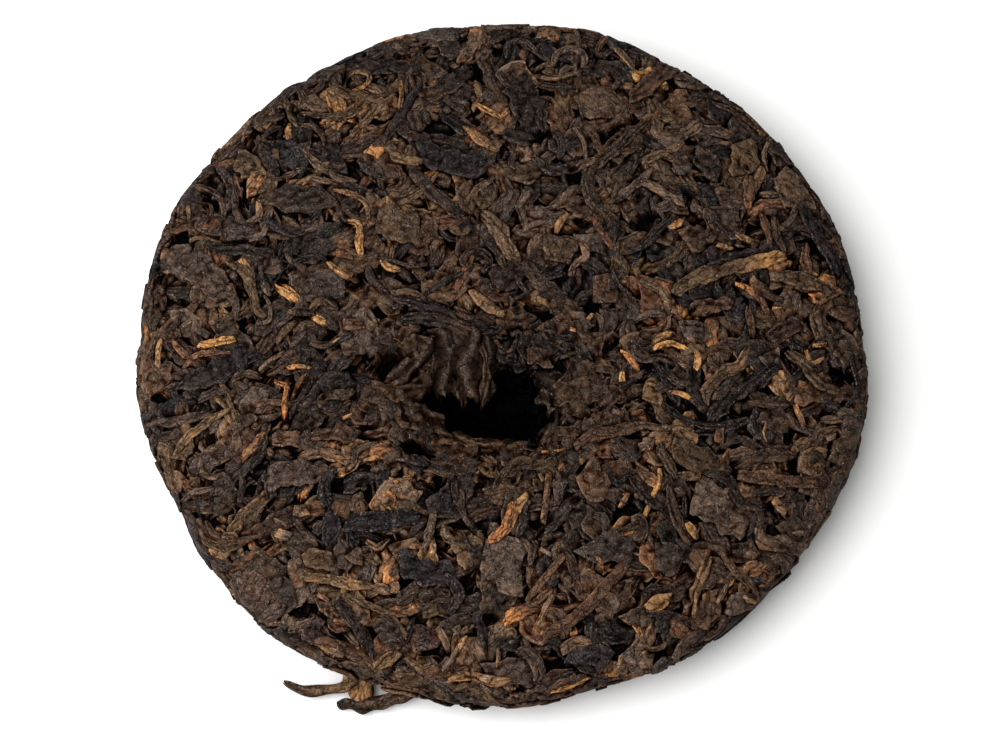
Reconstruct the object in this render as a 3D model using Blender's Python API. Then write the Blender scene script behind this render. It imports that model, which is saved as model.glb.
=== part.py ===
"""A pressed pu erh tea cake, lying on its domed face with the dimpled back face up.

The cake is one solid: a disc of pressed leaf with a flat spot underneath, a rounded rim, a funnel and a
deep knot hole in the back, and the largest leaves standing a little proud all over it. Metres, +Z up, the
origin at the middle of the flat spot that the cake rests on. +Y points away from the viewer.
"""

import math
import random

import bmesh
import bpy
import numpy as np

MM = 0.001

# Driving dimensions of the disc
CAKE_RADIUS = 95 * MM
CAKE_HEIGHT = 24.5 * MM
RIM_HEIGHT = 11.5 * MM
BACK_ROUNDNESS = 3.6
FACE_ROUNDNESS = 2.9
FLAT_SPOT_CUT = 0.8 * MM
OUTLINE_WAVES = ((3, 0.5, 40), (5, 0.45, 10), (8, 0.35, 75), (13, 0.3, 20))

# The dimple that the knot of the pressing bag leaves: centre, half widths and depth of each hollow
FUNNEL = {"centre": (-2 * MM, -15 * MM), "reach": (40 * MM, 28 * MM), "depth": 6.5 * MM, "steepness": 1.2}
KNOT_HOLE = {"centre": (-3.5 * MM, -20 * MM), "reach": (18 * MM, 11 * MM), "depth": 11 * MM, "steepness": 4.0}
FOLD_PIT = {"centre": (-27.5 * MM, -9.5 * MM), "reach": (7.5 * MM, 5.5 * MM), "depth": 4.5 * MM, "steepness": 2.5}
HOLLOWS = (FUNNEL, KNOT_HOLE, FOLD_PIT)

# The grid of the disc
SPOKES = 56
BACK_RINGS = (0.045, 0.085, 0.12, 0.15, 0.185, 0.23, 0.29, 0.37, 0.46, 0.56, 0.66, 0.76, 0.85, 0.91, 0.955, 0.985)
FACE_RINGS = (1.0, 0.985, 0.95, 0.9, 0.82, 0.72, 0.6)
FLAT_SPOT_SHARE = 0.5
LUMP_SPACING = 9 * MM
LUMP_HEIGHT = 0.45 * MM
LUMP_FADE_SHARE = 0.1
SHORTEST_EDGE = 0.02 * MM

# The fused leaves
LEAF_SEED = 357
LARGE_LEAF_STATIONS = 6
LEAF_STATIONS = 4
LEAF_SINK = 1.1 * MM
LEAF_FLOOR = 0.4 * MM
LEAF_LENGTH = (12 * MM, 26 * MM)
LEAF_WIDTH = (4.4 * MM, 8.5 * MM)
LEAF_PROUD = (0.9 * MM, 1.6 * MM)
LEAF_BEND = 1.3
NEAR_SHOULDER = 0.36
FAR_SHOULDER_HEIGHT = 0.8
END_NARROWING = 0.5
END_LOWERING = 0.6
HOLE_CLEARANCE_SHARE = 0.55
NORMAL_STEP = 0.3 * MM
GOLDEN_ANGLE = math.pi * (3 - math.sqrt(5))

# Where the other leaves lie: side, count, nearest and farthest place from the pole, scatter of the heading
LEAF_ZONES = (
    ("back", 78, 14 * MM, 80 * MM, math.pi),
    ("back", 34, 86 * MM, 102 * MM, 0.5),
    ("face", 24, 60 * MM, 80 * MM, 1.0),
)

# The largest leaves of the back: middle in mm, heading in degrees, length and width in mm, bend in radians
LARGE_LEAVES = (
    (61, 18.5, 28, 32, 6, -0.3),
    (27, 44, 232, 34, 5, 1.1),
    (20, -64, 232, 33, 4, 0.0),
    (69, -40.5, -9, 22, 4.5, 0.0),
    (-81, -22, 8, 25, 6.5, 0.2),
    (-44, -48, 266, 22, 8, 0.1),
    (-29.5, -51, 9, 18, 6.5, 0.0),
    (-57, -65, 40, 16, 13, 0.0),
    (54, -48, 100, 16, 12, 0.0),
    (71, -54, 0, 23, 6, 1.3),
)

# Leaves whose ends stick out under the near left edge: path points in mm, width and thickness in mm
JUTTING_LEAVES = (
    (((-55, -87.5, 4.6), (-50, -89.3, 4.0), (-44, -89.4, 4.0), (-36, -86.5, 5.2), (-28, -82, 7)), 2.8, 1.9),
    (((-36.8, -92.2, 3.2), (-36.2, -90.6, 3.6), (-35.6, -88, 4.4), (-35, -85, 5.6), (-34, -80, 7)), 8.0, 1.4),
    (((-41.5, -92.8, 2.8), (-36, -92.9, 3.0), (-30, -92.2, 3.6), (-23, -90, 5.2), (-16, -86, 7)), 3.8, 2.0),
)

TEA_COLOUR = (0.045, 0.028, 0.019, 1.0)
TEA_ROUGHNESS = 0.75


def outline_radius(angle):
    """Radius of the cake's edge at an angle, slightly out of round as a hand-pressed cake is."""
    waves = sum(
        size * MM * np.cos(lobes * (angle - math.radians(turn))) for lobes, size, turn in OUTLINE_WAVES
    )
    return CAKE_RADIUS + waves


def hollow_depth(x, y, centre, reach, depth, steepness):
    """Depth of one hollow: full in its middle, fading to nothing at its elliptical mouth."""
    along = (x - centre[0]) / reach[0]
    across = (y - centre[1]) / reach[1]
    inside = np.clip(1 - np.sqrt(along**2 + across**2), 0, 1)
    return depth * (1 - (1 - inside) ** steepness) ** 2


def lumps(x, y):
    """The gentle lumps of pressed leaf between the larger leaves, as crossed waves."""
    turns = 2 * math.pi / LUMP_SPACING
    first = np.sin(turns * (0.83 * x + 0.31 * y) + 1.7 * np.sin(turns * 0.37 * y))
    second = np.sin(turns * (0.27 * x - 0.91 * y) + 1.3 * np.sin(turns * 0.41 * x + 2))
    return LUMP_HEIGHT * first * second


def back_height(x, y):
    """Height of the upper, dimpled face above the flat spot."""
    share = np.clip(np.hypot(x, y) / outline_radius(np.arctan2(y, x)), 0, 1)
    crown = (CAKE_HEIGHT - RIM_HEIGHT) * (1 - share**BACK_ROUNDNESS) ** (1 / BACK_ROUNDNESS)
    dimple = sum(hollow_depth(x, y, **hollow) for hollow in HOLLOWS)
    fade = np.clip((1 - share) / LUMP_FADE_SHARE, 0, 1)
    return RIM_HEIGHT + crown - dimple + lumps(x, y) * fade


def face_height(x, y):
    """Height of the lower, domed face, cut flat where the cake rests."""
    share = np.clip(np.hypot(x, y) / outline_radius(np.arctan2(y, x)), 0, 1)
    dome = (RIM_HEIGHT + FLAT_SPOT_CUT) * (1 - share**FACE_ROUNDNESS) ** (1 / FACE_ROUNDNESS)
    return np.maximum(RIM_HEIGHT - dome, 0)


def meridian(side):
    """Arc length, share of the radius and height along a section from one pole to past the edge."""
    turn = np.linspace(math.pi / 2, 0, 200)
    profiles = {
        "back": (BACK_ROUNDNESS, CAKE_HEIGHT - RIM_HEIGHT, 1),
        "face": (FACE_ROUNDNESS, RIM_HEIGHT + FLAT_SPOT_CUT, -1),
    }
    runs = []
    for name in (side, "face" if side == "back" else "back"):
        roundness, rise, way = profiles[name]
        share = np.cos(turn) ** (2 / roundness)
        height = RIM_HEIGHT + way * rise * np.sin(turn) ** (2 / roundness)
        runs.append((share, height))
    share = np.concatenate([runs[0][0], runs[1][0][-2::-1]])
    height = np.concatenate([runs[0][1], runs[1][1][-2::-1]])
    steps = np.hypot(np.diff(share) * CAKE_RADIUS, np.diff(height))
    return np.concatenate([[0], np.cumsum(steps)]), share, height


MERIDIANS = {side: meridian(side) for side in ("back", "face")}


def on_surface(side, u, v):
    """Points of the disc's skin for flat coordinates laid over it from the pole of one side."""
    length, share, height = MERIDIANS[side]
    angle = np.arctan2(v, u)
    away = np.hypot(u, v)
    radius = np.interp(away, length, share) * outline_radius(angle)
    x, y = radius * np.cos(angle), radius * np.sin(angle)
    z = np.maximum(np.interp(away, length, height), 0)
    if side == "back":
        z = z - sum(hollow_depth(x, y, **hollow) for hollow in HOLLOWS)
    return np.stack([x, y, z], axis=-1)


def above_surface(side, u, v, proud):
    """Points standing off the skin along its outward normal."""
    along_u = on_surface(side, u + NORMAL_STEP, v) - on_surface(side, u - NORMAL_STEP, v)
    along_v = on_surface(side, u, v + NORMAL_STEP) - on_surface(side, u, v - NORMAL_STEP)
    normal = np.cross(along_u, along_v)
    normal /= np.linalg.norm(normal, axis=-1, keepdims=True)
    if side == "face":
        normal = -normal
    points = on_surface(side, u, v) + normal * proud[..., None]
    points[..., 2] = np.maximum(points[..., 2], LEAF_FLOOR)
    return points


def new_object(name, points, faces):
    mesh = bpy.data.meshes.new(name)
    mesh.from_pydata([tuple(p) for p in points], [], faces)
    mesh.update()
    made = bpy.data.objects.new(name, mesh)
    bpy.context.scene.collection.objects.link(made)
    return made


def make_disc():
    """The disc as rings of points: back rings close round the knot hole, face rings round the flat spot."""
    angles = np.arange(SPOKES) * 2 * math.pi / SPOKES
    edge = outline_radius(angles)
    pole_x, pole_y = KNOT_HOLE["centre"]
    points = [(pole_x, pole_y, float(back_height(np.array(pole_x), np.array(pole_y))))]
    for share in BACK_RINGS:
        x = pole_x * (1 - share) + share * edge * np.cos(angles)
        y = pole_y * (1 - share) + share * edge * np.sin(angles)
        points.extend(zip(x, y, back_height(x, y)))
    for share in FACE_RINGS:
        x, y = share * edge * np.cos(angles), share * edge * np.sin(angles)
        points.extend(zip(x, y, face_height(x, y)))
    x, y = FLAT_SPOT_SHARE * edge * np.cos(angles), FLAT_SPOT_SHARE * edge * np.sin(angles)
    points.extend(zip(x, y, np.zeros(SPOKES)))

    rings = len(BACK_RINGS) + len(FACE_RINGS) + 1
    faces = [(0, 1 + k, 1 + (k + 1) % SPOKES) for k in range(SPOKES)]
    for ring in range(rings - 1):
        inner, outer = 1 + ring * SPOKES, 1 + (ring + 1) * SPOKES
        for k in range(SPOKES):
            after = (k + 1) % SPOKES
            faces.append((inner + k, outer + k, outer + after, inner + after))
    last = 1 + (rings - 1) * SPOKES
    faces.append(tuple(last + k for k in reversed(range(SPOKES))))
    return new_object("tea_cake", points, faces)


def leaf_points(side, middle, heading, length, width, proud, bend, stations=LEAF_STATIONS):
    """Corners of one leaf: a bent strip with four corners at each station, narrower at its ends."""
    along = np.linspace(-0.5, 0.5, stations)
    turn = heading + bend * along
    step = length / (stations - 1)
    path_u = np.cumsum(np.cos(turn)) * step
    path_v = np.cumsum(np.sin(turn)) * step
    path_u += middle[0] - path_u.mean()
    path_v += middle[1] - path_v.mean()
    end = 2 * np.abs(along)
    narrow = 1 - END_NARROWING * end**3
    low = 1 - END_LOWERING * end**4
    corners = []
    section = (
        (0.5, -LEAF_SINK),
        (NEAR_SHOULDER, proud),
        (-NEAR_SHOULDER, FAR_SHOULDER_HEIGHT * proud),
        (-0.5, -LEAF_SINK),
    )
    for across, high in section:
        side_u = path_u - np.sin(turn) * across * width * narrow
        side_v = path_v + np.cos(turn) * across * width * narrow
        stands = high * low if high > 0 else np.full(stations, high)
        corners.append(above_surface(side, side_u, side_v, stands))
    return np.stack(corners, axis=1).reshape(-1, 3)


def jutting_points(path, width, thickness):
    """Corners of a leaf that sticks out: a flat four-cornered strip along a path of points in mm."""
    path = np.array(path) * MM
    along = np.gradient(path, axis=0)
    along /= np.linalg.norm(along, axis=1, keepdims=True)
    level = np.cross((0, 0, 1), along)
    level /= np.linalg.norm(level, axis=1, keepdims=True)
    above = np.cross(along, level)
    half_width, half_thickness = 0.5 * width * MM, 0.5 * thickness * MM
    corners = [
        path - level * half_width - above * half_thickness * 0.4,
        path - level * half_width * 0.4 + above * half_thickness,
        path + level * half_width * 0.6 + above * half_thickness * 0.7,
        path + level * half_width * 0.9 - above * half_thickness,
    ]
    return np.stack(corners, axis=1).reshape(-1, 3)


def leaf_faces(stations):
    """Faces of a leaf's four-cornered tube, with an end face at each end."""
    faces = [(3, 2, 1, 0)]
    for ring in range(stations - 1):
        for corner in range(4):
            after = (corner + 1) % 4
            near, far = ring * 4, ring * 4 + 4
            faces.append((near + corner, near + after, far + after, far + corner))
    last = (stations - 1) * 4
    faces.append((last, last + 1, last + 2, last + 3))
    return faces


def outward(points, faces):
    """The same faces, turned round if the solid that they bound is inside out."""
    volume = 0.0
    for face in faces:
        a, b, c, d = (points[k] for k in face)
        volume += np.dot(a, np.cross(b, c)) + np.dot(a, np.cross(c, d))
    return faces if volume > 0 else [face[::-1] for face in faces]


def scattered(count, start, stop):
    """Evenly spread places between two distances from the pole, as polar coordinates."""
    for k in range(count):
        share = (k + 0.5) / count
        yield math.sqrt(start**2 + (stop**2 - start**2) * share), k * GOLDEN_ANGLE


def in_knot_hole(u, v, margin):
    x, y = KNOT_HOLE["centre"]
    reach_x, reach_y = KNOT_HOLE["reach"]
    return math.hypot((u - x) / (reach_x + margin), (v - y) / (reach_y + margin)) < 1


def leaf_plan():
    """Every leaf of the skin as the arguments of leaf_points: the largest, then the rest by a seeded rule."""
    draw = random.Random(LEAF_SEED)
    for u, v, heading, length, width, bend in LARGE_LEAVES:
        yield {
            "side": "back",
            "middle": (u * MM, v * MM),
            "heading": math.radians(heading),
            "length": length * MM,
            "width": width * MM,
            "proud": LEAF_PROUD[1],
            "bend": bend,
            "stations": LARGE_LEAF_STATIONS,
        }
    for side, count, start, stop, scatter in LEAF_ZONES:
        for away, angle in scattered(count, start, stop):
            u, v = away * math.cos(angle), away * math.sin(angle)
            size = draw.random()
            length = LEAF_LENGTH[0] + (LEAF_LENGTH[1] - LEAF_LENGTH[0]) * size**1.5
            leaf = {
                "side": side,
                "middle": (u, v),
                "heading": angle + math.pi / 2 + draw.uniform(-scatter, scatter),
                "length": length,
                "width": draw.uniform(*LEAF_WIDTH),
                "proud": draw.uniform(*LEAF_PROUD),
                "bend": draw.uniform(-LEAF_BEND, LEAF_BEND),
            }
            if side == "face" or not in_knot_hole(u, v, HOLE_CLEARANCE_SHARE * length):
                yield leaf


def every_leaf():
    """The corner points of every fused leaf."""
    for leaf in leaf_plan():
        yield leaf_points(**leaf)
    for path, width, thickness in JUTTING_LEAVES:
        yield jutting_points(path, width, thickness)


def make_leaves():
    """The fused leaves as objects in a collection of their own."""
    leaves = bpy.data.collections.new("fused_leaves")
    bpy.context.scene.collection.children.link(leaves)
    for number, points in enumerate(every_leaf()):
        made = new_object(f"leaf_{number:03d}", points, outward(points, leaf_faces(len(points) // 4)))
        bpy.context.scene.collection.objects.unlink(made)
        leaves.objects.link(made)
    return leaves


def fuse(cake, leaves):
    """One union joins the leaves to the disc. It is applied, and the leaves' own objects are removed."""
    union = cake.modifiers.new("fuse", "BOOLEAN")
    union.operation = "UNION"
    union.operand_type = "COLLECTION"
    union.collection = leaves
    union.solver = "MANIFOLD"
    bpy.context.view_layer.objects.active = cake
    bpy.ops.object.modifier_apply(modifier=union.name)
    for leaf in list(leaves.objects):
        bpy.data.objects.remove(leaf)
    bpy.data.collections.remove(leaves)


def keep_outer_shell(cake):
    """Drops every shell but the largest, which fills sealed hollows and leaves no loose scrap."""
    shape = bmesh.new()
    shape.from_mesh(cake.data)
    shape.verts.ensure_lookup_table()
    left = set(shape.verts)
    shells = []
    while left:
        reached = {left.pop()}
        front = list(reached)
        while front:
            near = [edge.other_vert(corner) for corner in front for edge in corner.link_edges]
            front = [corner for corner in set(near) if corner in left]
            left.difference_update(front)
            reached.update(front)
        shells.append(reached)
    shells.sort(key=len)
    for shell in shells[:-1]:
        bmesh.ops.delete(shape, geom=list(shell), context="VERTS")
    bmesh.ops.dissolve_degenerate(shape, edges=shape.edges, dist=SHORTEST_EDGE)
    bmesh.ops.triangulate(shape, faces=shape.faces)
    shape.to_mesh(cake.data)
    shape.free()


def tea_material():
    material = bpy.data.materials.new("pressed_tea")
    material.use_nodes = True
    shader = material.node_tree.nodes["Principled BSDF"]
    shader.inputs["Base Color"].default_value = TEA_COLOUR
    shader.inputs["Roughness"].default_value = TEA_ROUGHNESS
    shader.inputs["Metallic"].default_value = 0.0
    return material


def main():
    for old in list(bpy.data.objects):
        bpy.data.objects.remove(old)
    cake = make_disc()
    fuse(cake, make_leaves())
    keep_outer_shell(cake)
    cake.data.materials.clear()
    cake.data.materials.append(tea_material())
    print(len(cake.data.vertices), "corners,", len(cake.data.polygons), "triangles")


main()
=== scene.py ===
"""The looks of the pressed tea cake: single leaves laid over the CAD disc, pressed level and dressed."""

import logging
import math
from dataclasses import dataclass, field
from enum import Enum

import bpy
import numpy as np
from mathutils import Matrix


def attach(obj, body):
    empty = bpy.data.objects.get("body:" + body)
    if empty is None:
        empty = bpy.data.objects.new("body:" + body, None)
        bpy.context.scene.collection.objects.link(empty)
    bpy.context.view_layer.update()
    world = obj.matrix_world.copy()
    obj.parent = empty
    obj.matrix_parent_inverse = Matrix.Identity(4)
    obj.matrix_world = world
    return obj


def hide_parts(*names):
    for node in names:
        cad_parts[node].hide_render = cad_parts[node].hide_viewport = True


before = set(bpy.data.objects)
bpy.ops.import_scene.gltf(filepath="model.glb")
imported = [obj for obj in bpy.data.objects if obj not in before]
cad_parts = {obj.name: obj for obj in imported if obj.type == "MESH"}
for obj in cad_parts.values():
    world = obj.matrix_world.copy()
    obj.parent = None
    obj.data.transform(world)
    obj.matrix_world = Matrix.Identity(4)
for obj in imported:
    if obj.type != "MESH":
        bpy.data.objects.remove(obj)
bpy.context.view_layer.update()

MM = 0.001
BODY = "root"
NODE = "tea_cake"
FREE_LEAF_GAP = 0.05
FREE_LEAF_WARMTH = 0.6
BACK_SEED = 357
FACE_SEED = 358
Array = np.ndarray


class Side(Enum):
    """The two faces of the cake: the dimpled back, which lies up, and the domed face under it."""

    BACK = "back"
    FACE = "face"


@dataclass(frozen=True)
class Hollow:
    """One hollow of the dimple, in mm of plan, and how much painted shade darkens it with each mm of depth.
    """

    centre: tuple[float, float]
    reach: tuple[float, float]
    depth: float
    steepness: float
    shade: float

    def depth_at(self, x: Array, y: Array) -> Array:
        """Depth of the hollow: full in its middle, fading as a power of the share of its elliptical reach.

        Args:
            x: plan coordinates in mm.
            y: plan coordinates in mm.

        Returns:
            Depth in mm below the disc's skin.
        """
        away = np.hypot((x - self.centre[0]) / self.reach[0], (y - self.centre[1]) / self.reach[1])
        inside = np.clip(1 - away, 0, 1)
        return self.depth * (1 - (1 - inside) ** self.steepness) ** 2


@dataclass
class Skin:
    """The smooth skin of the cake, with flat chart coordinates laid over it from the pole of each side.

    Lengths are in mm and angles in degrees. A wave of the outline is its number of lobes, its size and its
    turn; a bump of the rim is its angle, its half width and its size.
    """

    radius: float = 95.0
    height: float = 24.5
    rim_height: float = 11.5
    back_roundness: float = 3.6
    face_roundness: float = 2.9
    flat_cut: float = 0.8
    waves: tuple[tuple[int, float, float], ...] = (
        (3, 0.5, 40), (5, 0.45, 10), (8, 0.35, 75), (13, 0.3, 20),
    )
    hollows: tuple[Hollow, ...] = (
        Hollow((-2, -15), (40, 28), 6.5, 1.2, 0.02),
        Hollow((-3.5, -20), (18, 11), 11, 4.0, 0.22),
        Hollow((-27.5, -9.5), (7.5, 5.5), 4.5, 2.5, 0.11),
        Hollow((-22.6, -31.6), (3.6, 2.4), 3.0, 3.0, 0.22),
    )
    rim_bumps: tuple[tuple[int, int, float], ...] = (
        (25, 12, -1.4), (103, 10, 1.3), (162, 6, -1.4), (190, 8, 1.2),
        (208, 7, -2.0), (233, 8, 1.6), (292, 14, -2.0), (340, 14, 1.8),
    )
    samples: int = 300
    table_gap: float = 0.02
    runs: dict[Side, tuple[Array, Array, Array]] = field(init=False)

    def __post_init__(self) -> None:
        """Works out the section of each side once."""
        self.runs = {side: self.meridian(side) for side in Side}

    def half_section(self, side: Side) -> tuple[Array, Array]:
        """A quarter superellipse from a pole to the widest point, as share of the radius and height in mm.

        Args:
            side: the side of the pole.

        Returns:
            Share of the radius and height in mm at each sample.
        """
        turn = np.linspace(math.pi / 2, 0, self.samples)
        roundness, rise = self.back_roundness, self.height - self.rim_height
        if side is Side.FACE:
            roundness, rise = self.face_roundness, -(self.rim_height + self.flat_cut)
        return np.cos(turn) ** (2 / roundness), self.rim_height + rise * np.sin(turn) ** (2 / roundness)

    def meridian(self, side: Side) -> tuple[Array, Array, Array]:
        """Section from the pole of one side, round the rim, to the other pole.

        Args:
            side: the side whose pole starts the section.

        Returns:
            Arc length in mm, share of the radius, and height in mm.
        """
        near = self.half_section(side)
        far = self.half_section(Side.FACE if side is Side.BACK else Side.BACK)
        share = np.concatenate([near[0], far[0][-2::-1]])
        height = np.concatenate([near[1], far[1][-2::-1]])
        steps = np.hypot(np.diff(share) * self.radius, np.diff(height))
        return np.concatenate([[0], np.cumsum(steps)]), share, height

    def rim_arc(self, side: Side) -> float:
        """Arc length from the pole of a side to the widest point of the rim."""
        return float(self.runs[side][0][self.samples - 1])

    def outline(self, angle: Array) -> Array:
        """Radius of the edge at an angle: the mean radius plus a few low cosine waves."""
        return self.radius + sum(
            size * np.cos(lobes * (angle - math.radians(turn))) for lobes, size, turn in self.waves
        )

    def dent(self, angle: Array) -> Array:
        """Swellings and dents of the leafy rim in mm, as Gaussian bumps over the angle."""
        degrees = np.degrees(angle)
        return sum(
            size * np.exp(-((((degrees - turn + 180) % 360 - 180) / half) ** 2))
            for turn, half, size in self.rim_bumps
        )

    def at(self, side: Side, u: Array, v: Array) -> Array:
        """Skin point for chart coordinates: the distance from the pole is an arc length along the section.

        Args:
            side: the side whose pole is the chart's origin.
            u: chart coordinates in mm, along +X at the pole.
            v: chart coordinates in mm, along +Y at the pole.

        Returns:
            Points in mm, with the last axis x, y, z.
        """
        arc, share, height = self.runs[side]
        angle, away = np.arctan2(v, u), np.hypot(u, v)
        radius = np.interp(away, arc, share) * self.outline(angle)
        x, y = radius * np.cos(angle), radius * np.sin(angle)
        z = np.maximum(np.interp(away, arc, height), 0)
        if side is Side.BACK:
            z = z - sum(hollow.depth_at(x, y) for hollow in self.hollows)
        return np.stack([x, y, z], axis=-1)

    def shade(self, u: Array, v: Array) -> Array:
        """How much painted shade darkens the back in its hollows: the sum of their depths, each times its own
        shade.
        """
        point = self.at(Side.BACK, u, v)
        return sum(hollow.shade * hollow.depth_at(point[..., 0], point[..., 1]) for hollow in self.hollows)

    def squeeze(self, side: Side, u: Array, v: Array, step: float = 0.5) -> Array:
        """Matrices that undo the chart's stretch: the inverse square root of J'J, J being the chart's slope.

        Args:
            side: the side whose chart is used.
            u: chart coordinates in mm.
            v: chart coordinates in mm.
            step: half the span of the differences in mm.

        Returns:
            One symmetric 2 by 2 matrix for each place.
        """
        across = (self.at(side, u + step, v) - self.at(side, u - step, v)) / (2 * step)
        along = (self.at(side, u, v + step) - self.at(side, u, v - step)) / (2 * step)
        a, b, c = (across**2).sum(-1), (across * along).sum(-1), (along**2).sum(-1)
        root = np.sqrt(np.maximum(a * c - b * b, 1e-4))
        trace = np.sqrt(a + c + 2 * root)
        matrix = np.stack([c + root, -b, -b, a + root], axis=-1) / (root * trace)[..., None]
        return np.clip(matrix.reshape(*u.shape, 2, 2), -1.5, 1.5)

    def lifted(self, side: Side, u: Array, v: Array, lift: Array, step: float = 0.4) -> Array:
        """Points that stand off the skin along its normal, the cross product of two central differences.

        Args:
            side: the side whose chart is used.
            u: chart coordinates in mm.
            v: chart coordinates in mm.
            lift: distance off the skin in mm.
            step: half the span of the differences in mm.

        Returns:
            Points in mm, never below the table.
        """
        across = self.at(side, u + step, v) - self.at(side, u - step, v)
        along = self.at(side, u, v + step) - self.at(side, u, v - step)
        normal = np.cross(across, along)
        normal /= np.maximum(np.linalg.norm(normal, axis=-1, keepdims=True), 1e-9)
        if side is Side.FACE:
            normal = -normal
        points = self.at(side, u, v) + normal * lift[..., None]
        points[..., 2] = np.maximum(points[..., 2], self.table_gap)
        return points


@dataclass
class PhotoCamera:
    """The camera of the photograph, and the way from one of its pixels to a place on the cake's skin."""

    elevation: float = 68.85
    distance: float = 0.6205
    lens: float = 85.0
    sensor: float = 36.0
    width: int = 1000
    height: int = 730
    centre: tuple[float, float, float] = (0.0, 0.0, 0.012)
    nudge: tuple[float, float] = (1.5, -16.5)
    search_reach: float = 108.0
    search_pitch: float = 2.0
    past_rim: float = 3.0
    newton_rounds: int = 6
    newton_reach: float = 3.0

    @property
    def focal(self) -> float:
        """Focal length in pixels."""
        return self.lens / self.sensor * self.width

    def axes(self) -> tuple[Array, Array, Array, Array]:
        """The camera's place and its right, up and back directions, aimed at the cake's nudged centre.

        Returns:
            The place in metres and three unit directions.
        """
        tilt = math.radians(self.elevation)
        right = np.array([1.0, 0.0, 0.0])
        up = np.array([0.0, math.sin(tilt), math.cos(tilt)])
        back = np.array([0.0, -math.cos(tilt), math.sin(tilt)])
        pixel = self.distance / self.focal
        aim = np.array(self.centre) - right * self.nudge[0] * pixel + up * self.nudge[1] * pixel
        return aim + back * self.distance, right, up, back

    def project(self, points: Array) -> Array:
        """Pixels of points given in metres.

        Args:
            points: points in metres.

        Returns:
            A pixel for each point.
        """
        place, right, up, back = self.axes()
        seen = points - place
        depth = -(seen @ back)
        x = self.width / 2 + self.focal * (seen @ right) / depth
        y = self.height / 2 - self.focal * (seen @ up) / depth
        return np.stack([x, y], axis=-1)

    def reach(self, pixels: Array, height: Array) -> Array:
        """Points in mm where the rays of pixels meet level planes at the given heights in mm.

        Args:
            pixels: N pixels of the photograph.
            height: N heights over the table in mm.

        Returns:
            N points in mm.
        """
        place, right, up, back = self.axes()
        across = (pixels[:, :1] - self.width / 2) / self.focal
        rise = (self.height / 2 - pixels[:, 1:]) / self.focal
        way = across * right + rise * up - back
        run = (height * MM - place[2]) / way[:, 2]
        return (place + way * run[:, None]) / MM

    def chart(self, skin: Skin, pixels: Array) -> Array:
        """Chart coordinates of the back under pixels: the nearest of a grid of places, then Newton's steps.

        Args:
            skin: the cake's skin.
            pixels: N pixels of the photograph.

        Returns:
            N chart coordinates in mm.
        """
        line = np.arange(-self.search_reach, self.search_reach + 1, self.search_pitch)
        u, v = (grid.ravel() for grid in np.meshgrid(line, line))
        within = np.hypot(u, v) < skin.rim_arc(Side.BACK) + self.past_rim
        u, v = u[within], v[within]
        seen = self.project(skin.at(Side.BACK, u, v) * MM)
        nearest = np.argmin(np.linalg.norm(seen[None] - pixels[:, None], axis=-1), axis=1)
        place = np.stack([u[nearest], v[nearest]], axis=-1)
        step = 0.5
        for _ in range(self.newton_rounds):
            u, v = place.T
            here = self.project(skin.at(Side.BACK, u, v) * MM)
            by_u = (self.project(skin.at(Side.BACK, u + step, v) * MM) - here) / step
            by_v = (self.project(skin.at(Side.BACK, u, v + step) * MM) - here) / step
            miss = pixels - here
            area = by_u[:, 0] * by_v[:, 1] - by_u[:, 1] * by_v[:, 0]
            area = np.where(np.abs(area) < 1e-3, np.inf, area)
            move_u = (miss[:, 0] * by_v[:, 1] - miss[:, 1] * by_v[:, 0]) / area
            move_v = (by_u[:, 0] * miss[:, 1] - by_u[:, 1] * miss[:, 0]) / area
            move = np.stack([move_u, move_v], axis=-1)
            place = place + np.clip(move, -self.newton_reach, self.newton_reach)
        return place

    def build(self) -> bpy.types.Object:
        """Makes the camera and sets it as the scene's.

        Returns:
            The camera's object.
        """
        data = bpy.data.cameras.new("photo_camera")
        data.lens, data.sensor_width, data.clip_start = self.lens, self.sensor, 0.01
        camera = bpy.data.objects.new("photo_camera", data)
        bpy.context.scene.collection.objects.link(camera)
        camera.location = self.axes()[0]
        camera.rotation_euler = (math.radians(90 - self.elevation), 0, 0)
        bpy.context.scene.camera = camera
        return camera


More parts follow.
